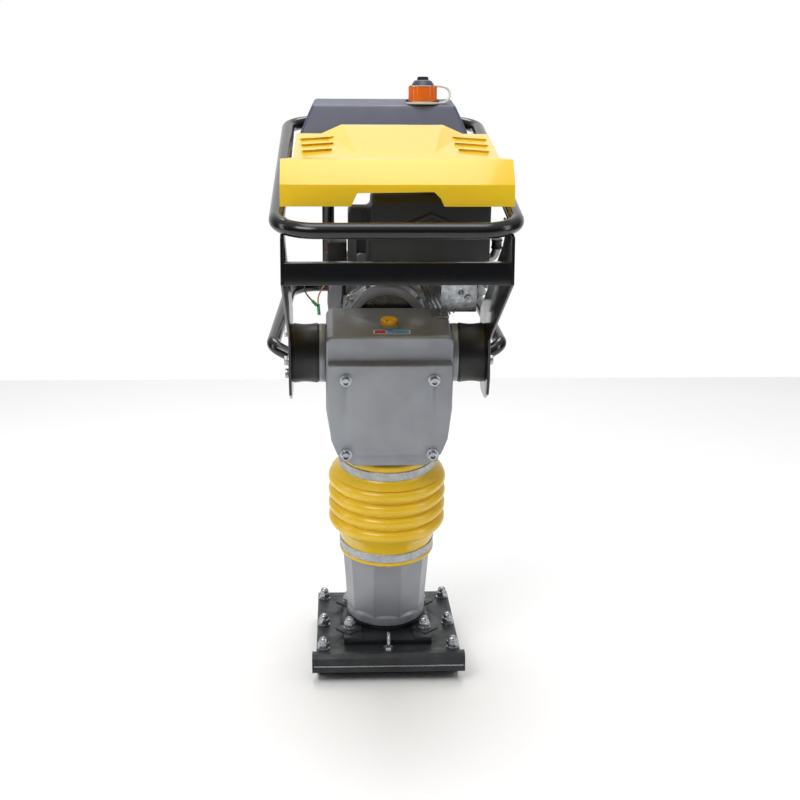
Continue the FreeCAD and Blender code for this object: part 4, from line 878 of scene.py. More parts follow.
@dataclass
class SpringLeg:
    """The foot cylinder, the bellows with its clamps, and the spring tube inside them."""

    leg: LegAxes
    neck_radius: float = 83.3 * MM
    wall: float = 4.7 * MM
    crest_radius: float = 111 * MM
    groove_radius: float = 95 * MM
    fullness: float = 2.1
    first_crest: float = 204.75 * MM
    fold_pitch: float = 27.5 * MM
    folds: int = 4
    bottom: float = 136 * MM
    top: float = 344 * MM
    clamp_low: float = 144 * MM
    clamp_high: float = 314 * MM
    clamp_width: float = 17 * MM

    def outline(self) -> list[tuple[float, float]]:
        """The bellows' section: necks, lips and round folds, outside then inside."""
        neck = self.neck_radius + self.wall
        outside = [
            (neck, self.bottom),
            (neck + 2.2 * MM, self.bottom + 1.2 * MM),
            (neck + 2.6 * MM, self.bottom + 4 * MM),
            (neck + 1.6 * MM, self.bottom + 6.5 * MM),
            (neck, self.clamp_low),
            (neck, self.clamp_low + self.clamp_width - 1 * MM),
            (neck + 1.0 * MM, self.clamp_low + self.clamp_width + 1.5 * MM),
        ]
        start = self.first_crest - self.fold_pitch / 2
        lower_flare = start - outside[-1][1]
        for share in (0.35, 0.7):
            widen = (self.groove_radius + 4 * MM - neck) * (share**1.3)
            outside.append((neck + 1.0 * MM + widen, outside[6][1] + lower_flare * share))
        steps = 12
        for fold in range(self.folds):
            for step in range(steps):
                share = (step + 0.5) / steps
                across = abs(2 * share - 1)
                # a superellipse keeps the crests full and the grooves narrow
                bulge = (1 - across**self.fullness) ** (1 / self.fullness)
                radius = self.groove_radius + (self.crest_radius - self.groove_radius) * bulge
                outside.append((radius, start + self.fold_pitch * (fold + share)))
        upper_start = start + self.fold_pitch * self.folds
        for share in (0.0, 0.35, 0.7):
            radius = self.crest_radius - 5 * MM - (self.crest_radius - 5 * MM - neck) * share**1.2
            outside.append((radius, upper_start + (self.clamp_high - upper_start) * share))
        outside += [
            (neck, self.clamp_high + 1 * MM),
            (neck, self.clamp_high + self.clamp_width),
            (neck + 1.6 * MM, self.clamp_high + self.clamp_width + 2.5 * MM),
            (neck + 2.4 * MM, self.top - 5 * MM),
            (neck + 1.8 * MM, self.top - 1.5 * MM),
            (neck, self.top),
        ]
        inside = [(max(radius - self.wall, self.neck_radius), level) for radius, level in outside]
        return outside + inside[::-1]

    def bellows(self) -> None:
        """Spins the bellows and sets it on the leg between the foot and the crankcase."""
        piece = revolve("bellows_moulded", self.outline(), steps=128)
        place(piece, self.leg.matrix)
        take(piece)
        bpy.ops.object.shade_smooth_by_angle(angle=math.radians(60))
        piece.data.materials.append(YELLOW_ELASTOMER.build())
        self.leg.point(0, 0, self.clamp_low + self.clamp_width)
        self.leg.point(0, 0, self.clamp_high)
        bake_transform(piece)
        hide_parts("bellows")
        LOG.info("%s blends foot to crankcase, %s", piece.name, YELLOW_ELASTOMER.name)

    def clamp(self, node: str, body: str, low: float) -> None:
        """Models a worm-drive band: rolled edges, a screw housing and a slotted screw."""
        inner = self.neck_radius + self.wall + 0.25 * MM
        outer = inner + 2.2 * MM
        high = low + self.clamp_width
        lip = 0.8 * MM
        band = revolve(
            f"{node}_band",
            [
                (inner, low),
                (outer - lip, low),
                (outer, low + lip),
                (outer - 0.5 * MM, low + 3 * lip),
                (outer - 0.5 * MM, high - 3 * lip),
                (outer, high - lip),
                (outer - lip, high),
                (inner, high),
            ],
            steps=128,
        )
        middle = low + self.clamp_width / 2
        housing = block(
            "housing", (24 * MM, 9 * MM, self.clamp_width - 2 * MM), (0, outer + 3.6 * MM, middle)
        )
        round_edges(housing, 1.5 * MM, 3)
        screw = drum("screw", 3.4 * MM, 40 * MM, (0, outer + 4.6 * MM, middle), "X", 24)
        with shaping(screw):
            pick_faces(screw, lambda at, normal: abs(normal.x) > 0.9)
            bpy.ops.mesh.inset(thickness=0.6 * MM, depth=0.4 * MM)
        head = drum("head", 5.2 * MM, 7 * MM, (20 * MM, outer + 4.6 * MM, middle), "X", 6)
        round_edges(head, 0.6 * MM, 2)
        tail = block(
            "tail", (30 * MM, 1.2 * MM, self.clamp_width - 5 * MM), (-24 * MM, outer + 1.0 * MM, middle)
        )
        round_edges(tail, 0.4 * MM, 1)
        piece = join([band, housing, screw, head, tail], f"{node}_worm_drive")
        place(piece, self.leg.matrix)
        seat(piece, body, GALVANISED_STRIP, [node])

    def build(self) -> None:
        """Builds the leg."""
        self.bellows()
        self.clamp("lower_bellows_clamp", "foot", self.clamp_low)
        self.clamp("upper_bellows_clamp", "crankcase", self.clamp_high)
        foot = soften("foot_cylinder", "foot_cylinder_cast", 0.7 * MM, 2, 14)
        seat(foot, "foot", SILVER_ENAMEL, ["foot_cylinder"], smooth=12)
        dress(GEAR_STEEL, "guide_cylinder", "spring_cylinder", "spring_cap", "ram_piston")
        dress(SPRING_WIRE, "lower_spring", "upper_spring")


# ---------------------------------------------------------------- crankcase


@dataclass
class Crankcase:
    """The crankcase, its cover and gasket, the oil plug, the label and the mount discs."""

    leg: LegAxes
    cover_front: float = 100 * MM
    case_top: float = 594 * MM
    label_width: float = 66 * MM
    label_height: float = 22 * MM
    plug_back: float = -28 * MM

    def castings(self) -> None:
        """Rounds the edges of the case and the cover."""
        case = soften("crankcase", "crankcase_cast", 2.2 * MM, 3, 30)
        seat(case, "crankcase", SILVER_ENAMEL, ["crankcase"])
        cover = soften("crankcase_cover", "crankcase_cover_cast", 1.2 * MM, 2, 30)
        seat(cover, "crankcase", SILVER_ENAMEL, ["crankcase_cover"])
        discs = soften("mount_discs", "mount_discs_turned", 1.6 * MM, 3)
        seat(discs, "crankcase", SILVER_ENAMEL, ["mount_discs"])
        housing = soften("clutch_housing", "clutch_housing_cast", 1.2 * MM, 2)
        seat(housing, "crankcase", SILVER_ENAMEL, ["clutch_housing"])

    def cap_screw(self, name: str) -> bpy.types.Object:
        """Models a socket screw with its washers, its head pointing up +Z from z = 0."""
        washer = drum("washer", 11 * MM, 1.6 * MM, (0, 0, 0.8 * MM), sides=48)
        round_edges(washer, 0.4 * MM, 2)
        spring = drum("spring", 8.6 * MM, 2.2 * MM, (0, 0, 2.7 * MM), sides=40)
        round_edges(spring, 0.4 * MM, 1)
        head = drum("head", 7.5 * MM, 8.6 * MM, (0, 0, 8.1 * MM), sides=48)
        with shaping(head):
            pick_faces(head, lambda at, normal: normal.z > 0.9)
            bpy.ops.mesh.inset(thickness=0.9 * MM, depth=0)
            extrude((0, 0, 0.5 * MM))
            bpy.ops.mesh.inset(thickness=1.9 * MM, depth=0)
            extrude((0, 0, -5 * MM))
        return join([washer, spring, head], name)

    def screws(self) -> None:
        """Sets four socket screws on the cover."""
        pattern = self.cap_screw("cap_screw_pattern")
        spots = island_middles("cover_screws", 30 * MM)
        turn = self.leg.matrix.to_3x3().to_4x4() @ Matrix.Rotation(math.pi / 2, 4, "X")
        copies = []
        for index, spot in enumerate(spots):
            local = self.leg.matrix.inverted() @ spot
            at = self.leg.point(local.x, -self.cover_front, local.z)
            copies.append(twin(pattern, f"cap_screw_{index}", Matrix.Translation(at) @ turn))
        bpy.data.objects.remove(pattern)
        seat(join(copies, "cover_cap_screws"), "crankcase", ZINC_PLATE, ["cover_screws"])

    def plug(self) -> None:
        """Models the yellow filler plug with its finger grooves and its red tell-tale dot."""
        base = self.case_top + 5 * MM
        crown = drum("crown", 15 * MM, 9 * MM, (0, self.plug_back, base + 4.5 * MM), sides=48)
        with shaping(crown):
            pick_faces(
                crown,
                lambda at,
                normal: abs(normal.z) < 0.2 and round(
                    math.atan2(normal.y, normal.x) / (math.pi / 24)
                ) % 4 == 0,
            )
            bpy.ops.mesh.inset(thickness=0.3 * MM, depth=-0.8 * MM, use_individual=True)
            pick_faces(crown, lambda at, normal: normal.z > 0.9)
            bpy.ops.mesh.inset(thickness=2.2 * MM, depth=1.6 * MM)
            bpy.ops.mesh.inset(thickness=4.5 * MM, depth=-1.2 * MM)
        round_edges(crown, 0.5 * MM, 2)
        stem = drum("stem", 9 * MM, 14 * MM, (0, self.plug_back, base - 6 * MM), sides=32)
        piece = join([crown, stem], "oil_plug_ribbed")
        place(piece, self.leg.matrix)
        seat(piece, "crankcase", YELLOW_PLUG, ["oil_plug"])
        dot = drum(
            "oil_plug_dot",
            2.2 * MM,
            1.2 * MM,
            (-4 * MM, self.plug_back - 11.6 * MM, base + 10.4 * MM),
            sides=20,
        )
        round_edges(dot, 0.4 * MM, 2)
        place(dot, self.leg.matrix)
        seat(dot, "crankcase", LABEL_RED)

    def label(self) -> None:
        """Lays a plain two-colour label, with no lettering, on the top behind the crease."""
        thick = 0.35 * MM
        level = self.case_top + thick / 2
        at = (4 * MM, -57 * MM, level)
        film = block("label_film", (self.label_width, self.label_height, thick), at)
        with shaping(film):
            pick_edges(film, lambda middle, along: abs(along.z) > 0.9)
            bpy.ops.mesh.bevel(offset=2.5 * MM, segments=4)
        place(film, self.leg.matrix)
        seat(film, "crankcase", LABEL_WHITE)
        rim = 2.4 * MM
        split = 20 * MM
        left = at[0] - self.label_width / 2 + rim
        right = at[0] + self.label_width / 2 - rim
        for name, first, last, ink in (
            ("label_red_field", left, left + split, LABEL_RED),
            ("label_blue_field", left + split + 0.8 * MM, right, LABEL_BLUE),
        ):
            field_at = ((first + last) / 2, at[1], level + thick / 2 + 0.06 * MM)
            patch = block(name, (last - first, self.label_height - 2 * rim, 0.14 * MM), field_at)
            with shaping(patch):
                pick_edges(patch, lambda middle, along: abs(along.z) > 0.9)
                bpy.ops.mesh.bevel(offset=1.2 * MM, segments=3)
            place(patch, self.leg.matrix)
            seat(patch, "crankcase", ink)

    def build(self) -> None:
        """Builds the crankcase."""
        self.castings()
        self.screws()
        self.plug()
        self.label()
        dress(FIBRE_GASKET, "cover_gasket")
        dress(
            GEAR_STEEL,
            "shaft_bearings",
            "crank_gear",
            "connecting_rod",
            "clutch_drum",
            "crankshaft",
            "clutch_shoes",
        )


def island_middles(node: str, reach: float) -> list[Vector]:
    """Finds the middles of the separate solids in a node.

    Args:
        node: The CAD node.
        reach: Vertices nearer to each other than this belong to one solid.

    Returns:
        The middle of each solid's box.
    """
    found: list[list[Vector]] = []
    for vertex in frame["nodes"][node].data.vertices:
        for island in found:
            if (vertex.co - island[0]).length < reach:
                island.append(vertex.co.copy())
                break
        else:
            found.append([vertex.co.copy()])
    middles = []
    for island in found:
        low = Vector(tuple(min(point[axis] for point in island) for axis in range(3)))
        high = Vector(tuple(max(point[axis] for point in island) for axis in range(3)))
        middles.append((low + high) / 2)
    return middles


# ---------------------------------------------------------------- engine


@dataclass
class Engine:
    """The petrol engine behind the crankcase, with its covers and fittings."""

    leg: LegAxes
    shaft_level: float = 555.25 * MM
    block_front: float = 134 * MM
    block_radius: float = 82 * MM
    filter_left: float = -30 * MM
    filter_right: float = 192 * MM
    filter_front: float = 104 * MM
    filter_top: float = 788 * MM
    shroud_radius: float = 112 * MM
    shroud_front: float = 236 * MM
    shroud_rear: float = 296 * MM
    starter_rear: float = 323 * MM
    baffle_side: float = -47 * MM
    baffle_level: float = 691 * MM
    grip_side: float = -40 * MM
    grip_rise: float = 40 * MM
    muffler_side: float = 165 * MM
    muffler_rise: float = 84 * MM

    def castings(self) -> None:
        """Rounds the edges of the cast and moulded pieces."""
        for node, width, finish, slot in (
            ("engine_block", 2.0 * MM, DIE_CAST_ALLOY, "engine_alloy"),
            ("engine_cylinder", 0.8 * MM, DIE_CAST_ALLOY, "engine_alloy"),
            ("rocker_cover", 1.2 * MM, DIE_CAST_ALLOY, "engine_alloy"),
            ("carburettor", 1.6 * MM, DIE_CAST_ALLOY, "engine_alloy"),
            ("air_cleaner", 3.0 * MM, BLACK_NYLON, "engine_black"),
            ("muffler", 2.0 * MM, BLACK_CASTING, "engine_black"),
            ("fan_shroud", 1.2 * MM, RED_ENAMEL, "engine_red"),
            ("recoil_starter", 1.0 * MM, BLACK_NYLON, "engine_black"),
            ("spark_plug", 1.0 * MM, BLACK_RUBBER, "black_rubber"),
            ("cable_bracket", 0.6 * MM, ZINC_PLATE, "zinc"),
            ("switch_box", 2.5 * MM, BLACK_NYLON, "engine_black"),
        ):
            piece = soften(node, f"{node}_softened", width, 3 if width > 1.1 * MM else 1)
            seat(piece, "crankcase", finish, [node])
        dress(DIE_CAST_ALLOY, "flywheel")
        dress(RED_ENAMEL, "stop_button")
        dress(ZINC_PLATE, "choke_lever")

    def hexagon_bolt(self, name: str, across: float = 8 * MM) -> bpy.types.Object:
        """Models a flanged hexagon bolt head on a cast boss, standing on z = 0 and pointing up."""
        boss = drum("boss", across * 1.25, 9 * MM, (0, 0, 2.5 * MM), sides=32)
        with shaping(boss):
            pick_faces(boss, lambda at, normal: normal.z > 0.9)
            bpy.ops.mesh.inset(thickness=1.2 * MM, depth=0.8 * MM)
        flange = drum("flange", across * 0.95, 1.8 * MM, (0, 0, 8.4 * MM), sides=32)
        round_edges(flange, 0.5 * MM, 2)
        head = drum("head", across * 0.66, 5.4 * MM, (0, 0, 11.8 * MM), sides=6)
        with shaping(head):
            pick_faces(head, lambda at, normal: normal.z > 0.9)
            bpy.ops.mesh.inset(thickness=1.0 * MM, depth=0.5 * MM)
            bpy.ops.mesh.inset(thickness=1.6 * MM, depth=-0.4 * MM)
        round_edges(head, 0.35 * MM, 1, 20)
        return join([boss, flange, head], name)

    def front_castings(self) -> None:
        """Adds the bolts and ribs that stand out on the front face of the block."""
        pattern = self.hexagon_bolt("block_bolt_pattern")
        facing = Matrix.Rotation(math.pi / 2, 4, "X")
        pieces = []
        for index, (angle, radius) in enumerate(
            ((150, 76), (118, 74), (74, 62), (35, 76), (200, 78), (-25, 78), (245, 76), (295, 76))
        ):
            across = radius * MM * math.cos(math.radians(angle))
            up = self.shaft_level + radius * MM * math.sin(math.radians(angle))
            matrix = Matrix.Translation((across, self.block_front + 3 * MM, up)) @ facing
            pieces.append(twin(pattern, f"block_bolt_{index}", self.leg.matrix @ matrix))
        bpy.data.objects.remove(pattern)
        seat(join(pieces, "block_bolts"), "crankcase", DIE_CAST_ALLOY)

        ribs = []
        for index, (start_x, end_x, start_z, end_z) in enumerate(
            (
                (-64, -30, 46, 68),
                (-34, 6, 66, 78),
                (30, 62, 58, 34),
                (44, 74, 62, 40),
                (-76, -60, 20, 40),
                (62, 86, 24, 10),
            )
        ):
            run = Vector((end_x - start_x, 0, end_z - start_z)) * MM
            middle = Vector(
                (
                    (start_x + end_x) / 2 * MM,
                    self.block_front - 3 * MM,
                    self.shaft_level + (start_z + end_z) / 2 * MM,
                )
            )
            rib = block(f"rib_{index}", (run.length, 8 * MM, 5 * MM), (0, 0, 0))
            with shaping(rib):
                pick_faces(rib, lambda at, normal: normal.y < -0.9)
                bpy.ops.mesh.inset(thickness=1.2 * MM, depth=1.4 * MM)
            round_edges(rib, 0.9 * MM, 2)
            tilt = Matrix.Rotation(-math.atan2(run.z, run.x), 4, "Y")
            ribs.append(place(rib, self.leg.matrix @ Matrix.Translation(middle) @ tilt))
        seat(join(ribs, "block_ribs"), "crankcase", DIE_CAST_ALLOY)

    def cleaner_crest(self) -> None:
        """Raises the shallow chevron on the air cleaner's face."""
        middle = (self.filter_left + self.filter_right) / 2
        limbs = []
        for side in (-1, 1):
            limb = block("limb", (84 * MM, 3.6 * MM, 9 * MM), (0, 0, 0))
            with shaping(limb):
                pick_faces(limb, lambda at, normal: normal.y < -0.9)
                bpy.ops.mesh.inset(thickness=2.6 * MM, depth=1.2 * MM)
            round_edges(limb, 0.8 * MM, 2)
            drop = math.radians(24) * side
            at = (middle + side * 35 * MM, self.filter_front - 0.6 * MM, self.filter_top - 38 * MM)
            limbs.append(
                place(limb, self.leg.matrix @ Matrix.Translation(at) @ Matrix.Rotation(drop, 4, "Y"))
            )
        seat(join(limbs, "air_cleaner_chevron"), "crankcase", BLACK_NYLON)

    def baffle(self) -> None:
        """Bends the black bracket with its oblong hole that stands left of the air cleaner."""
        plate = block(
            "baffle_bracket", (52 * MM, 2.4 * MM, 74 * MM), (self.baffle_side, 121 * MM, self.baffle_level)
        )
        with shaping(plate):
            bpy.ops.mesh.select_all(action="SELECT")
            bpy.ops.mesh.subdivide(number_cuts=5)
            pick_faces(
                plate,
                lambda at, normal: abs(normal.y) > 0.9
                and abs(at.x - self.baffle_side) < 9 * MM
                and abs(at.z - self.baffle_level) < 19 * MM,
            )
            bpy.ops.mesh.bridge_edge_loops()
        round_edges(plate, 0.6 * MM, 1, 40)
        flap = block("flap", (52 * MM, 30 * MM, 2.4 * MM), (self.baffle_side, 135 * MM, 727 * MM))
        round_edges(flap, 0.6 * MM, 1)
        foot = block("foot", (2.4 * MM, 40 * MM, 60 * MM), (-22 * MM, 139 * MM, 696 * MM))
        round_edges(foot, 0.6 * MM, 1)
        piece = join([plate, flap, foot], "baffle_bracket")
        place(piece, self.leg.matrix)
        seat(piece, "crankcase", BLACK_CASTING)

    def breather(self) -> None:
        """Adds the alloy elbow with its rubber boot at the right end of the air cleaner."""
        elbow = rod(
            "breather_elbow",
            [
                self.leg.point(182 * MM, 150 * MM, 668 * MM),
                self.leg.point(196 * MM, 150 * MM, 668 * MM),
                self.leg.point(208 * MM, 150 * MM, 674 * MM),
                self.leg.point(210 * MM, 150 * MM, 690 * MM),
            ],
            8 * MM,
        )
        seat(elbow, "crankcase", DIE_CAST_ALLOY)
        boot = revolve(
            "breather_boot",
            in_mm([(0, 0), (10, 0), (11, 2), (9.6, 5), (9.6, 14), (11, 16), (10, 19), (0, 19)]),
            32,
        )
        place(boot, self.leg.matrix @ Matrix.Translation((210 * MM, 150 * MM, 688 * MM)))
        seat(boot, "crankcase", BLACK_RUBBER)
        arm = block("breather_arm", (26 * MM, 30 * MM, 18 * MM), (180 * MM, 150 * MM, 667 * MM))
        with shaping(arm):
            pick_faces(arm, lambda at, normal: normal.x > 0.9)
            bpy.ops.mesh.inset(thickness=2 * MM, depth=2 * MM)
        round_edges(arm, 2 * MM, 3)
        place(arm, self.leg.matrix)
        seat(arm, "crankcase", DIE_CAST_ALLOY)

    def backing_disc(self) -> None:
        """Turns the pale disc behind the block that closes the fan shroud."""
        disc = revolve(
            "shroud_backing_disc",
            [
                (self.block_radius + 3 * MM, 0),
                (self.shroud_radius - 2 * MM, 0),
                (self.shroud_radius - 1 * MM, 1 * MM),
                (self.shroud_radius - 1 * MM, 9 * MM),
                (self.shroud_radius - 5 * MM, 11 * MM),
                (self.block_radius + 3 * MM, 11 * MM),
            ],
            96,
        )
        turn = Matrix.Translation((0, self.shroud_front - 11.4 * MM, self.shaft_level)) @ Matrix.Rotation(
            -math.pi / 2, 4, "X"
        )
        place(disc, self.leg.matrix @ turn)
        seat(disc, "crankcase", SILVER_ENAMEL)

    def starter_trim(self) -> None:
        """Adds the hub, rim bolts and the rope's guide to the recoil starter."""
        facing = Matrix.Rotation(-math.pi / 2, 4, "X")
        hub = revolve(
            "starter_hub",
            in_mm([(0, 0), (34, 0), (33, 2.2), (28, 3.2), (14, 3.2), (12, 2), (0, 2)]),
            64,
        )
        place(hub, self.leg.matrix @ Matrix.Translation((0, self.starter_rear, self.shaft_level)) @ facing)
        seat(hub, "crankcase", BLACK_NYLON)
        pieces = []
        for index in range(4):
            angle = math.radians(45 + 90 * index)
            at = (
                99 * MM * math.cos(angle),
                self.shroud_rear + 4 * MM,
                self.shaft_level + 99 * MM * math.sin(angle),
            )
            screw = drum("rim_screw", 5 * MM, 6 * MM, (0, 0, 1 * MM), sides=6)
            round_edges(screw, 0.5 * MM, 2)
            pieces.append(place(screw, self.leg.matrix @ Matrix.Translation(at) @ facing))
        seat(join(pieces, "starter_rim_screws"), "crankcase", ZINC_PLATE)
        eyelet = revolve(
            "rope_guide",
            in_mm([(3, 0), (8, 0), (8, 1.2), (6, 3), (4, 3), (3, 1.6)]),
            32,
        )
        place(eyelet, self.leg.matrix @ Matrix.Translation(self.on_rope(320.5 * MM)) @ facing)
        seat(eyelet, "crankcase", ZINC_PLATE)

    def on_rope(self, along: float) -> tuple[float, float, float]:
        """A place on the rope's line, at a distance behind the leg's axis."""
        return (self.grip_side, along, self.shaft_level + self.grip_rise)

    def starter_rope(self) -> None:
        """Runs the rope from the starter to its grip."""
        low = self.leg.point(*self.on_rope(306 * MM))
        high = self.leg.point(*self.on_rope(331 * MM))
        rope = drum("starter_rope", 1.9 * MM, 25 * MM, (0, 0, 0), "Y", 12)
        with shaping(rope):
            pick_edges(rope, lambda middle, along: abs(along.y) > 0.9)
            bpy.ops.mesh.subdivide(number_cuts=8)
        turn = self.leg.matrix.to_3x3().to_4x4()
        place(rope, Matrix.Translation((low + high) / 2) @ turn)
        take(rope)
        bpy.ops.object.shade_smooth_by_angle(angle=math.radians(40))
        rope.data.materials.append(ROPE_POLYESTER.build())
        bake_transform(rope)
        LOG.info("%s blends crankcase to starter_grip, %s", rope.name, ROPE_POLYESTER.name)

    def grip(self) -> None:
        """Models the starter's T-grip: a waisted bar with finger ribs and a collar."""
        ends = []
        half = 35 * MM
        outline = [(0, -half), (6 * MM, -half), (9 * MM, -half + 3 * MM)]
        ribs = 7
        for rib in range(ribs):
            level = -half + 8 * MM + (2 * half - 16 * MM) * rib / (ribs - 1)
            outline += [(8.0 * MM, level - 2.4 * MM), (8.9 * MM, level), (8.0 * MM, level + 2.4 * MM)]
        outline += [(9 * MM, half - 3 * MM), (6 * MM, half), (0, half)]
        bar = revolve("bar", outline, 32)
        place(bar, Matrix.Translation(self.on_rope(336 * MM)) @ Matrix.Rotation(math.pi / 2, 4, "Y"))
        ends.append(bar)
        collar = revolve(
            "collar",
            in_mm([(2.1, 0), (7, 0), (7, 3), (5.6, 7), (6.6, 12), (2.1, 12)]),
            32,
        )
        place(collar, Matrix.Translation(self.on_rope(324 * MM)) @ Matrix.Rotation(-math.pi / 2, 4, "X"))
        ends.append(collar)
        piece = join(ends, "starter_grip_moulded")
        place(piece, self.leg.matrix)
        seat(piece, "starter_grip", BLACK_RUBBER, ["starter_grip"])

    def muffler_guard(self) -> None:
        """Stands a louvred heat guard off the muffler's rear face."""
        guard = block(
            "muffler_guard",
            (54 * MM, 1.6 * MM, 84 * MM),
            (self.muffler_side, 320.5 * MM, self.shaft_level + self.muffler_rise),
        )
        slots = []
        for row in range(6):
            slot = block(
                "slot",
                (36 * MM, 8 * MM, 5 * MM),
                (self.muffler_side, 320.5 * MM, self.shaft_level + 54 * MM + 12 * MM * row),
            )
            with shaping(slot):
                pick_edges(slot, lambda middle, along: abs(along.y) > 0.9)
                bpy.ops.mesh.bevel(offset=2.2 * MM, segments=4)
            slots.append(slot)
        cutter = join(slots, "slots")
        modify(guard, "BOOLEAN", object=cutter, operation="DIFFERENCE", solver="EXACT")
        bpy.data.objects.remove(cutter)
        round_edges(guard, 0.5 * MM, 1, 40)
        studs = [
            drum(
                "stud",
                3 * MM,
                5 * MM,
                (
                    self.muffler_side + side * 23 * MM,
                    318.4 * MM,
                    self.shaft_level + self.muffler_rise + end * 36 * MM,
                ),
                "Y",
                12,
            )
            for side in (-1, 1)
            for end in (-1, 1)
        ]
        piece = join([guard, *studs], "muffler_guard")
        place(piece, self.leg.matrix)
        seat(piece, "crankcase", BLACK_CASTING)

    def build(self) -> None:
        """Builds the engine."""
        self.castings()
        self.front_castings()
        self.cleaner_crest()
        self.baffle()
        self.breather()
        self.backing_disc()
        self.starter_trim()
        self.starter_rope()
        self.grip()
        self.muffler_guard()


# ---------------------------------------------------------------- stop leads


@dataclass
class StopLeads:
    """Two short leads that hang from the switch box and meet in green sleeves."""

    diameter: float = 2.8 * MM
    black_length: float = 106 * MM
    tan_length: float = 89 * MM

    def lead(
        self, node: str, name: str, route: Sequence[Point], finish: Finish
    ) -> bpy.types.Object:
        """Lays one lead along its route as a smooth curve.

        Args:
            node: The CAD node that it stands for.
            name: The piece's name.
            route: Its control points in metres, from the switch box down.
            finish: Its finish.

        Returns:
            The lead.
        """
        line = bpy.data.curves.new(name, "CURVE")
        line.dimensions = "3D"
        line.bevel_depth = self.diameter / 2
        line.bevel_resolution = 4
        line.use_fill_caps = True
        strand = line.splines.new("NURBS")
        strand.points.add(len(route) - 1)
        for knot, point in zip(strand.points, route):
            knot.co = (*point, 1)
        strand.order_u = 3
        strand.use_endpoint_u = True
        strand.resolution_u = 12
        piece = bpy.data.objects.new(name, line)
        bpy.context.scene.collection.objects.link(piece)
        line.materials.append(finish.build())
        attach(piece, "crankcase")
        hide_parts(node)
        LOG.info("%s on crankcase, %s", name, finish.name)
        return piece

    def build(self) -> None:
        """Builds the leads."""
        black_route = [
            (-0.104, 0.058, 0.760),
            (-0.109, 0.056, 0.750),
            (-0.120, 0.053, 0.741),
            (-0.134, 0.048, 0.739),
            (-0.147, 0.042, 0.735),
            (-0.154, 0.036, 0.725),
            (-0.155, 0.031, 0.713),
            (-0.149, 0.027, 0.703),
            (-0.140, 0.024, 0.694),
        ]
        tan_route = [
            (-0.094, 0.058, 0.760),
            (-0.098, 0.055, 0.747),
            (-0.107, 0.049, 0.735),
            (-0.117, 0.042, 0.722),
            (-0.125, 0.036, 0.710),
            (-0.130, 0.031, 0.698),
            (-0.129, 0.027, 0.687),
        ]
        black = self.lead("black_stop_lead", "black_lead", black_route, BLACK_VINYL)
        tan = self.lead("brown_stop_lead", "tan_lead", tan_route, TAN_VINYL)
        dress(GREEN_VINYL, "lead_sleeves")


# ---------------------------------------------------------------- handle frame


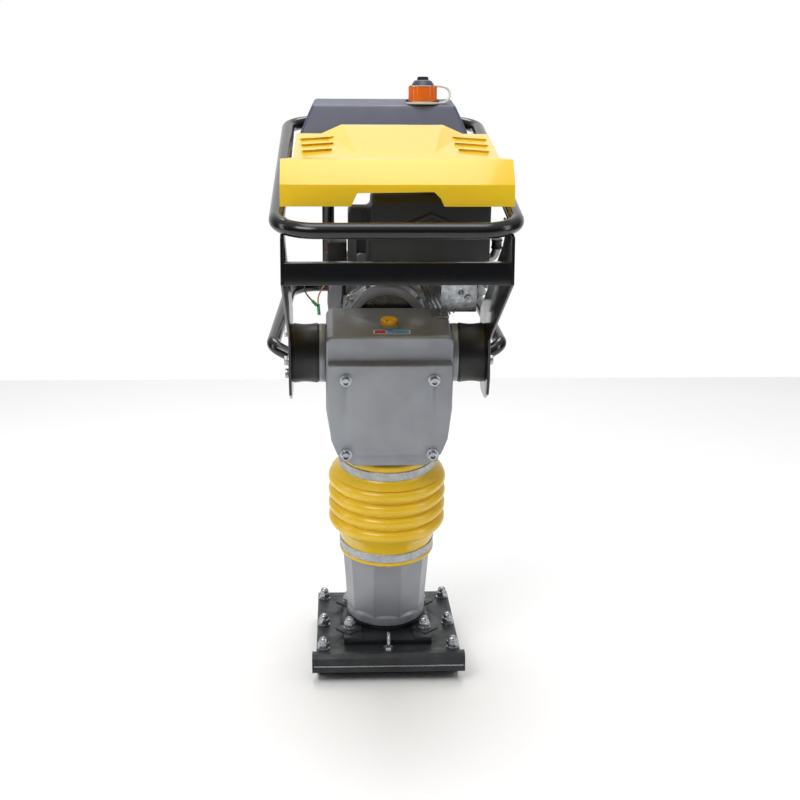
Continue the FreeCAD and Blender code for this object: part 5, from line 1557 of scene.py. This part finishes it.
@dataclass
class HandleFrame:
    """The black frame: side plates, crossbar, tubes, rubber mounts and their nuts."""

    leg: LegAxes
    tube_radius: float = 12.5 * MM
    plate_in: float = 175 * MM
    plate_out: float = 180 * MM
    mount_in: float = 126 * MM
    mount_radius: float = 55 * MM
    mount_level: float = 534 * MM
    post_side: float = 110 * MM
    strip_rear: float = -385 * MM
    loop_front: float = -496 * MM
    loop_rear: float = 233 * MM
    loop_front_level: float = 872 * MM
    loop_rear_level: float = 1026 * MM
    guard_level: float = 690 * MM
    guard_back: float = 292 * MM

    def sheet_metal(self) -> None:
        """Rounds the edges of the side plates and the crossbar."""
        for node in ("left_side_plate", "right_side_plate", "front_crossbar"):
            seat(
                soften(node, f"{node}_coated", 1.4 * MM, 3),
                "handle_frame",
                POWDER_COAT,
                [node],
            )
        dress(POWDER_COAT, "top_loop", "lower_guard")

    def mounts(self) -> None:
        """Turns the two rubber mounts with their bonded steel faces."""
        rim = 2.2 * MM
        wide = self.plate_in - self.mount_in
        outline = [
            (0, 0),
            (self.mount_radius - 3 * MM, 0),
            (self.mount_radius - 1.6 * MM, 0.5 * MM),
            (self.mount_radius - 1.6 * MM, 3 * MM),
        ]
        steps = 10
        for step in range(steps + 1):
            share = step / steps
            radius = self.mount_radius - 0.2 * MM - rim * math.sin(math.pi * share)
            outline.append((radius, 3.4 * MM + (wide - 6.8 * MM) * share))
        outline += [
            (self.mount_radius - 1.6 * MM, wide - 3 * MM),
            (self.mount_radius - 1.6 * MM, wide - 0.5 * MM),
            (self.mount_radius - 3 * MM, wide),
            (0, wide),
        ]
        pieces = []
        for side in (-1, 1):
            mount = revolve(f"mount_{side}", outline, 96)
            start = self.mount_in if side > 0 else -self.plate_in
            turn = Matrix.Translation((start, 0, self.mount_level)) @ Matrix.Rotation(math.pi / 2, 4, "Y")
            pieces.append(place(mount, self.leg.matrix @ turn))
        seat(
            join(pieces, "rubber_mounts_moulded"),
            "handle_frame",
            BLACK_RUBBER,
            ["rubber_mounts"],
        )

    def nut(self, name: str) -> bpy.types.Object:
        """Models a flanged lock nut on a stud, standing on z = 0."""
        washer = drum("washer", 10.5 * MM, 2 * MM, (0, 0, 1 * MM), sides=40)
        round_edges(washer, 0.5 * MM, 2)
        hexagon = drum("hexagon", 9 * MM, 6.6 * MM, (0, 0, 5.2 * MM), sides=6)
        with shaping(hexagon):
            pick_faces(hexagon, lambda at, normal: normal.z > 0.9)
            bpy.ops.mesh.inset(thickness=1.6 * MM, depth=0.6 * MM)
            bpy.ops.mesh.inset(thickness=1.4 * MM, depth=-0.8 * MM)
        round_edges(hexagon, 0.5 * MM, 2, 20)
        stud = drum("stud", 4 * MM, 8 * MM, (0, 0, 5 * MM), sides=24)
        round_edges(stud, 0.6 * MM, 2)
        return join([washer, hexagon, stud], name)

    def nuts(self) -> None:
        """Sets three nuts outside each side plate."""
        pattern = self.nut("mount_nut_pattern")
        copies = []
        for index, spot in enumerate(island_middles("mount_nuts", 26 * MM)):
            side = math.copysign(1, spot.x)
            at = Vector((side * self.plate_out, spot.y, spot.z))
            turn = Matrix.Rotation(side * math.pi / 2, 4, "Y") @ Matrix.Rotation(0.4 * index, 4, "Z")
            copies.append(twin(pattern, f"mount_nut_{index}", Matrix.Translation(at) @ turn))
        bpy.data.objects.remove(pattern)
        seat(join(copies, "mount_lock_nuts"), "handle_frame", ZINC_PLATE, ["mount_nuts"])

    def bead(self, name: str, points: Sequence[Vector], radius: float) -> bpy.types.Object:
        """Lays a rippled weld bead along points.

        Args:
            name: The bead's name.
            points: Places that the bead follows.
            radius: The bead's radius.

        Returns:
            The bead.
        """
        rippled = []
        for index, (start, end) in enumerate(zip(points, points[1:])):
            steps = max(2, round((end - start).length / (3.2 * MM)))
            for step in range(steps):
                ripple = 0.35 * MM * math.sin(2.3 * (len(rippled) + index))
                rippled.append(start.lerp(end, step / steps) + Vector((0, 0, ripple)))
        rippled.append(points[-1])
        return rod(name, rippled, radius, sides=3)

    def welds(self) -> None:
        """Welds the strips to the loop and the posts to the tubes."""
        slope = (self.loop_rear_level - self.loop_front_level) / (self.loop_rear - self.loop_front)
        beads = []
        for side in (-1, 1):
            for across in (self.plate_in - 0.6 * MM, self.plate_out + 0.6 * MM):
                start, end = self.loop_front + 40 * MM, self.strip_rear - 4 * MM
                line = [
                    Vector(
                        (
                            side * across,
                            along,
                            self.loop_front_level + (
                                along - self.loop_front
                            ) * slope - self.tube_radius * 0.97,
                        )
                    )
                    for along in (start, end)
                ]
                beads.append(self.bead("strip_bead", line, 2.0 * MM))
            for level, along in (
                (self.guard_level + self.tube_radius - 0.4 * MM, self.guard_back - 1 * MM),
                (self.loop_rear_level - self.tube_radius + 0.6 * MM, self.loop_rear + 4 * MM),
            ):
                ring = []
                for step in range(25):
                    turn = 2 * math.pi * step / 24
                    lift = 1.4 * MM * math.cos(2 * turn)
                    ring.append(
                        Vector(
                            (
                                side * self.post_side + (self.tube_radius + 0.6 * MM) * math.cos(turn),
                                along + (self.tube_radius + 0.6 * MM) * math.sin(turn),
                                level + lift * (1 if level < 0.9 else -1),
                            )
                        )
                    )
                beads.append(self.bead("post_bead", ring, 2.0 * MM))
        seat(join(beads, "frame_welds"), "handle_frame", COATED_WELD, smooth=60)

    def build(self) -> None:
        """Builds the handle frame."""
        self.sheet_metal()
        self.mounts()
        self.nuts()
        self.welds()


# ---------------------------------------------------------------- cover, tank and cap


@dataclass
class TopCover:
    """The yellow moulded cover over the front of the frame."""

    edge: float = 2.2 * MM
    brow_back: float = -440 * MM
    brow_top: float = 977 * MM
    crest_along: float = -250 * MM
    crest_level: float = 1012 * MM
    louvre_side: float = 126 * MM
    louvre_pitch: float = 45 * MM
    louvre_lean: float = 18.0

    def louvres(self) -> None:
        """Raises three hooded louvres on the front slope of each wing."""
        rise = (self.crest_level - self.brow_top) / (self.crest_along - self.brow_back)
        hoods = []
        for side in (-1, 1):
            for row in range(3):
                wide = (58 - 5 * row) * MM
                along = self.crest_along - 37 * MM - self.louvre_pitch * row
                level = self.brow_top + (along - self.brow_back) * rise
                hood = block("louvre", (wide, 20 * MM, 5 * MM), (0, 0, 0))
                with shaping(hood):
                    pick_edges(hood, lambda middle, run: middle.y > 9 * MM and middle.z > 2 * MM)
                    bpy.ops.transform.translate(value=(0, 0, -4.4 * MM))
                    pick_faces(hood, lambda at, normal: normal.y < -0.9)
                    bpy.ops.mesh.inset(thickness=1.1 * MM, depth=-2.5 * MM)
                round_edges(hood, 0.7 * MM, 2, 30)
                turn = Matrix.Rotation(math.atan(rise), 4, "X") @ Matrix.Rotation(
                    math.radians(-side * self.louvre_lean), 4, "Z"
                )
                at = (side * self.louvre_side, along, level + 1.0 * MM)
                hoods.append(place(hood, Matrix.Translation(at) @ turn))
        seat(join(hoods, "top_cover_louvres"), "handle_frame", YELLOW_ABS)

    def build(self) -> None:
        """Rounds the cover's edges and dresses it."""
        shell = soften("top_cover", "top_cover_moulded", self.edge, 3, 9)
        seat(shell, "handle_frame", YELLOW_ABS, ["top_cover"], smooth=20)
        self.louvres()


@dataclass
class FuelTank:
    """The moulded tank with its bolts, tap, cap and the cap's tether."""

    edge: float = 7 * MM
    half: float = 162 * MM
    front: float = 128 * MM
    low: float = 935 * MM
    top: float = 1062 * MM
    cap_side: float = 77 * MM
    cap_along: float = 177 * MM
    cap_radius: float = 28 * MM
    cap_high: float = 28 * MM
    seat_level: float = 1066.5 * MM

    def shell(self) -> None:
        """Rounds the tank's edges and dresses it."""
        tank = soften("fuel_tank", "fuel_tank_moulded", 2.5 * MM, 3, 26)
        seat(tank, "handle_frame", TANK_POLYETHYLENE, ["fuel_tank"], smooth=45)

    def tank_bolts(self) -> None:
        """Sets a washered bolt near each lower front corner."""
        pieces = []
        for side in (-1, 1):
            pad = revolve("pad", in_mm([(0, 0), (13, 0), (12, 2.4), (10.5, 3), (10, 1.2), (0, 1.2)]), 32)
            bolt = drum("bolt", 6.2 * MM, 4.5 * MM, (0, 0, 3.4 * MM), sides=6)
            round_edges(bolt, 0.6 * MM, 2)
            whole = join([pad, bolt], "tank_bolt")
            at = (side * (self.half - 22 * MM), self.front, self.low + 20 * MM)
            pieces.append(place(whole, Matrix.Translation(at) @ Matrix.Rotation(math.pi / 2, 4, "X")))
        seat(join(pieces, "tank_corner_bolts"), "handle_frame", CHARCOAL_POLYPROPYLENE)

    def cap(self) -> None:
        """Models the ribbed orange ring and the charcoal dome with its grip."""
        ring = drum(
            "fuel_cap_ring", self.cap_radius - 1.4 * MM, self.cap_high, (0, 0, self.cap_high / 2), sides=72
        )
        with shaping(ring):
            pick_faces(
                ring,
                lambda at, normal: abs(normal.z) < 0.2 and round(
                    math.atan2(normal.y, normal.x) / (math.pi / 36)
                ) % 2 == 0,
            )
            bpy.ops.mesh.inset(thickness=0.25 * MM, depth=1.3 * MM, use_individual=True)
            pick_faces(ring, lambda at, normal: normal.z > 0.9)
            bpy.ops.mesh.inset(thickness=3.4 * MM, depth=1.4 * MM)
        round_edges(ring, 0.5 * MM, 2, 40)
        stand = Matrix.Translation((self.cap_side, self.cap_along, self.seat_level))
        seat(place(ring, stand), "fuel_cap", ORANGE_POLYPROPYLENE, ["fuel_cap"])

        base = self.cap_high - 2 * MM
        dome = revolve(
            "dome",
            [
                (0, base),
                (23.8 * MM, base),
                (23.8 * MM, base + 3.0 * MM),
                (22.4 * MM, base + 5.5 * MM),
                (17.6 * MM, base + 12.5 * MM),
                (15.6 * MM, base + 14.2 * MM),
                (12 * MM, base + 14.8 * MM),
                (0, base + 14.8 * MM),
            ],
            64,
        )
        knob = block("knob", (22 * MM, 9 * MM, 8 * MM), (0, 0, base + 17.5 * MM))
        with shaping(knob):
            pick_edges(knob, lambda middle, along: abs(along.y) > 0.9 and middle.z > base + 20 * MM)
            bpy.ops.mesh.bevel(offset=4 * MM, segments=5)
            pick_faces(knob, lambda at, normal: normal.y < -0.9)
            bpy.ops.mesh.inset(thickness=1.6 * MM, depth=-2.4 * MM)
        round_edges(knob, 0.5 * MM, 2, 40)
        top = join([dome, knob], "fuel_cap_dome")
        seat(place(top, stand), "fuel_cap", CHARCOAL_POLYPROPYLENE)

    def tether(self) -> None:
        """Lays the milky tether ring under the cap, with its tab towards the side."""
        ring = revolve(
            "ring",
            [
                (23 * MM, 0),
                (34 * MM, 0),
                (35 * MM, 1.2 * MM),
                (34.5 * MM, 4 * MM),
                (32.5 * MM, 4.3 * MM),
                (32 * MM, 2 * MM),
                (23 * MM, 2 * MM),
            ],
            72,
        )
        strap = rod(
            "strap",
            [
                (25 * MM, -12 * MM, 2 * MM),
                (37 * MM, -12 * MM, 2.5 * MM),
                (48 * MM, -10 * MM, 6 * MM),
                (54 * MM, -7 * MM, 18 * MM),
                (50 * MM, -4 * MM, 30 * MM),
                (38 * MM, -2 * MM, 35 * MM),
                (25 * MM, 0, 35 * MM),
            ],
            2.3 * MM,
        )
        collar = revolve("collar", in_mm([(24.2, 33), (26.4, 33), (26.4, 36), (24.2, 36)]), 64)
        piece = join([ring, strap, collar], "cap_tether")
        place(piece, Matrix.Translation((self.cap_side, self.cap_along, self.top - 1 * MM)))
        seat(piece, "handle_frame", MILKY_POLYETHYLENE)

    def tap(self) -> None:
        """Hangs the fuel tap under the tank, with its lever and its spigot."""
        at = Vector((92 * MM, 150 * MM, 0))
        body = drum("body", 10 * MM, 30 * MM, (at.x, at.y, 908 * MM), sides=40)
        stem = drum("stem", 6 * MM, 24 * MM, (at.x, at.y, 926 * MM), sides=32)
        collar = drum("collar", 13 * MM, 5 * MM, (at.x, at.y, 925 * MM), sides=6)
        round_edges(collar, 0.8 * MM, 2)
        face = drum("face", 12 * MM, 10 * MM, (at.x, at.y - 13 * MM, 903 * MM), "Y", 40)
        with shaping(face):
            pick_faces(face, lambda middle, normal: normal.y < -0.9)
            bpy.ops.mesh.inset(thickness=2 * MM, depth=-1.5 * MM)
        lever = block("lever", (7 * MM, 5 * MM, 30 * MM), (at.x, at.y - 20 * MM, 896 * MM))
        spigot = drum("spigot", 3.4 * MM, 22 * MM, (at.x, at.y, 888 * MM), sides=24)
        for piece in (body, face, lever):
            round_edges(piece, 1.0 * MM, 2)
        seat(join([body, stem, collar, face, lever, spigot], "fuel_tap"), "handle_frame", BLACK_NYLON)

    def build(self) -> None:
        """Builds the tank, its tap and its cap."""
        self.shell()
        self.tank_bolts()
        self.cap()
        self.tether()
        self.tap()


@dataclass
class Throttle:
    """The throttle clamp on the rear bar and its lever."""

    edge: float = 1.0 * MM

    def build(self) -> None:
        """Rounds and dresses the clamp and the lever."""
        clamp = soften("throttle_clamp", "throttle_clamp_cast", self.edge)
        seat(clamp, "handle_frame", DIE_CAST_ALLOY, ["throttle_clamp"])
        lever = soften("throttle_lever", "throttle_lever_moulded", self.edge * 1.4, 3)
        seat(lever, "throttle_lever", BLACK_NYLON, ["throttle_lever"])


# ---------------------------------------------------------------- studio


@dataclass
class Studio:
    """A pale floor, soft lights and the camera."""

    camera_place: Point = (-0.0960601, -2.6141054, 1.0572584)
    pitch: float = 11.91149
    yaw: float = 2.69
    roll: float = 0.25
    lens: float = 62.68
    floor_size: float = 5.6
    dim: float = 0.10
    backdrop: float = 0.85
    ceiling: float = 0.6

    def camera(self) -> None:
        """Sets the camera."""
        pitch, yaw, roll = (math.radians(angle) for angle in (self.pitch, self.yaw, self.roll))
        ahead = Vector(
            (math.sin(yaw) * math.cos(pitch), math.cos(yaw) * math.cos(pitch), -math.sin(pitch))
        )
        level_right = Vector((math.cos(yaw), -math.sin(yaw), 0))
        level_up = level_right.cross(ahead)
        right = math.cos(roll) * level_right + math.sin(roll) * level_up
        up = -math.sin(roll) * level_right + math.cos(roll) * level_up
        data = bpy.data.cameras.new("studio_camera")
        data.lens = self.lens
        data.sensor_width = 36.0
        data.clip_start = 0.05
        data.dof.use_dof = False
        camera = bpy.data.objects.new("studio_camera", data)
        bpy.context.scene.collection.objects.link(camera)
        turn = Matrix((right, up, -ahead)).transposed().to_4x4()
        camera.matrix_world = Matrix.Translation(self.camera_place) @ turn
        bpy.context.scene.camera = camera

    def softbox(self, name: str, at: Point, aim: Point, size: Point, watts: float) -> None:
        """Hangs a soft area light.

        Args:
            name: The light's name.
            at: Where it hangs.
            aim: The place that it faces.
            size: Its width and height.
            watts: Its power.
        """
        data = bpy.data.lights.new(name, "AREA")
        data.shape = "RECTANGLE"
        data.size, data.size_y = size
        data.energy = watts
        light = bpy.data.objects.new(name, data)
        bpy.context.scene.collection.objects.link(light)
        facing = (Vector(aim) - Vector(at)).to_track_quat("-Z", "Y")
        light.matrix_world = Matrix.Translation(at) @ facing.to_matrix().to_4x4()

    def room(self) -> None:
        """Makes the room: a white backdrop and ceiling, dimmer behind the camera and at the sides."""
        world = bpy.data.worlds.new("studio_world")
        bpy.context.scene.world = world
        world.use_nodes = True
        tree = world.node_tree
        tree.nodes.clear()
        direction = add_node(tree, "TexCoord", {}, {}).outputs["Generated"]
        parts = add_node(tree, "SeparateXYZ", {}, {"Vector": direction})
        backdrop = add_node(
            tree,
            "MapRange",
            {"From Min": 0.45, "From Max": 0.9, "To Min": self.dim, "To Max": self.backdrop},
            {"Value": parts.outputs["Y"]},
        )
        ceiling = add_node(
            tree,
            "MapRange",
            {"From Min": 0.25, "From Max": 0.8, "To Min": self.dim, "To Max": self.ceiling},
            {"Value": parts.outputs["Z"]},
        )
        bright = add_node(
            tree,
            "Math",
            {"operation": "MAXIMUM"},
            {"0": backdrop.outputs["Result"], "1": ceiling.outputs["Result"]},
        )
        white = (1.0, 1.0, 1.0, 1.0)
        glow = add_node(tree, "Background", {"Color": white}, {"Strength": bright.outputs["Value"]})
        paper = add_node(tree, "Background", {"Color": white, "Strength": 1.0}, {})
        seen = add_node(tree, "LightPath", {}, {}).outputs["Is Camera Ray"]
        both = add_node(
            tree,
            "MixShader",
            {},
            {"0": seen, "1": glow.outputs["Background"], "2": paper.outputs["Background"]},
        )
        add_node(tree, "OutputWorld", {}, {"Surface": both.outputs["Shader"]})

    def lights(self) -> None:
        """Hangs the soft boxes round the part."""
        middle = (0, -0.05, 0.6)
        self.softbox("key_softbox", (-1.3, -2.3, 2.6), middle, (1.6, 1.2), 40)
        self.softbox("right_softbox", (2.7, -1.2, 1.5), middle, (0.7, 2.2), 15)
        self.softbox("left_softbox", (-2.9, -0.4, 1.3), middle, (0.5, 2.2), 11)
        self.softbox("top_softbox", (0, -0.6, 3.2), middle, (1.6, 1.6), 28)
        self.softbox("rear_softbox", (0, 2.2, 4.4), (0, 1.2, 0), (3.0, 1.6), 85)
        bpy.context.scene.view_settings.view_transform = "Standard"

    def floor(self) -> None:
        """Lays the floor."""
        clear_selection()
        bpy.ops.mesh.primitive_plane_add(size=self.floor_size, location=(0, 0, 0))
        floor = bpy.context.object
        floor.name = "studio_floor"
        floor.data.materials.append(STUDIO_FLOOR.build())

    def build(self) -> None:
        """Builds the studio."""
        self.camera()
        self.room()
        self.lights()
        self.floor()


def main() -> None:
    """Builds every sub-assembly in order and reports each piece."""
    logging.basicConfig(level=logging.INFO, format="%(name)s: %(message)s")
    leg = LegAxes.from_joints(frame["joints"], crank_level=449 * MM, crank_back=42 * MM)
    Studio().build()
    StopLeads().build()
    for assembly in (
        Shoe(leg),
        SpringLeg(leg),
        Crankcase(leg),
        Engine(leg),
        HandleFrame(leg),
        TopCover(),
        FuelTank(),
        Throttle(),
    ):
        LOG.info("building %s", type(assembly).__name__)
        assembly.build()


if __name__ == "__main__":
    main()
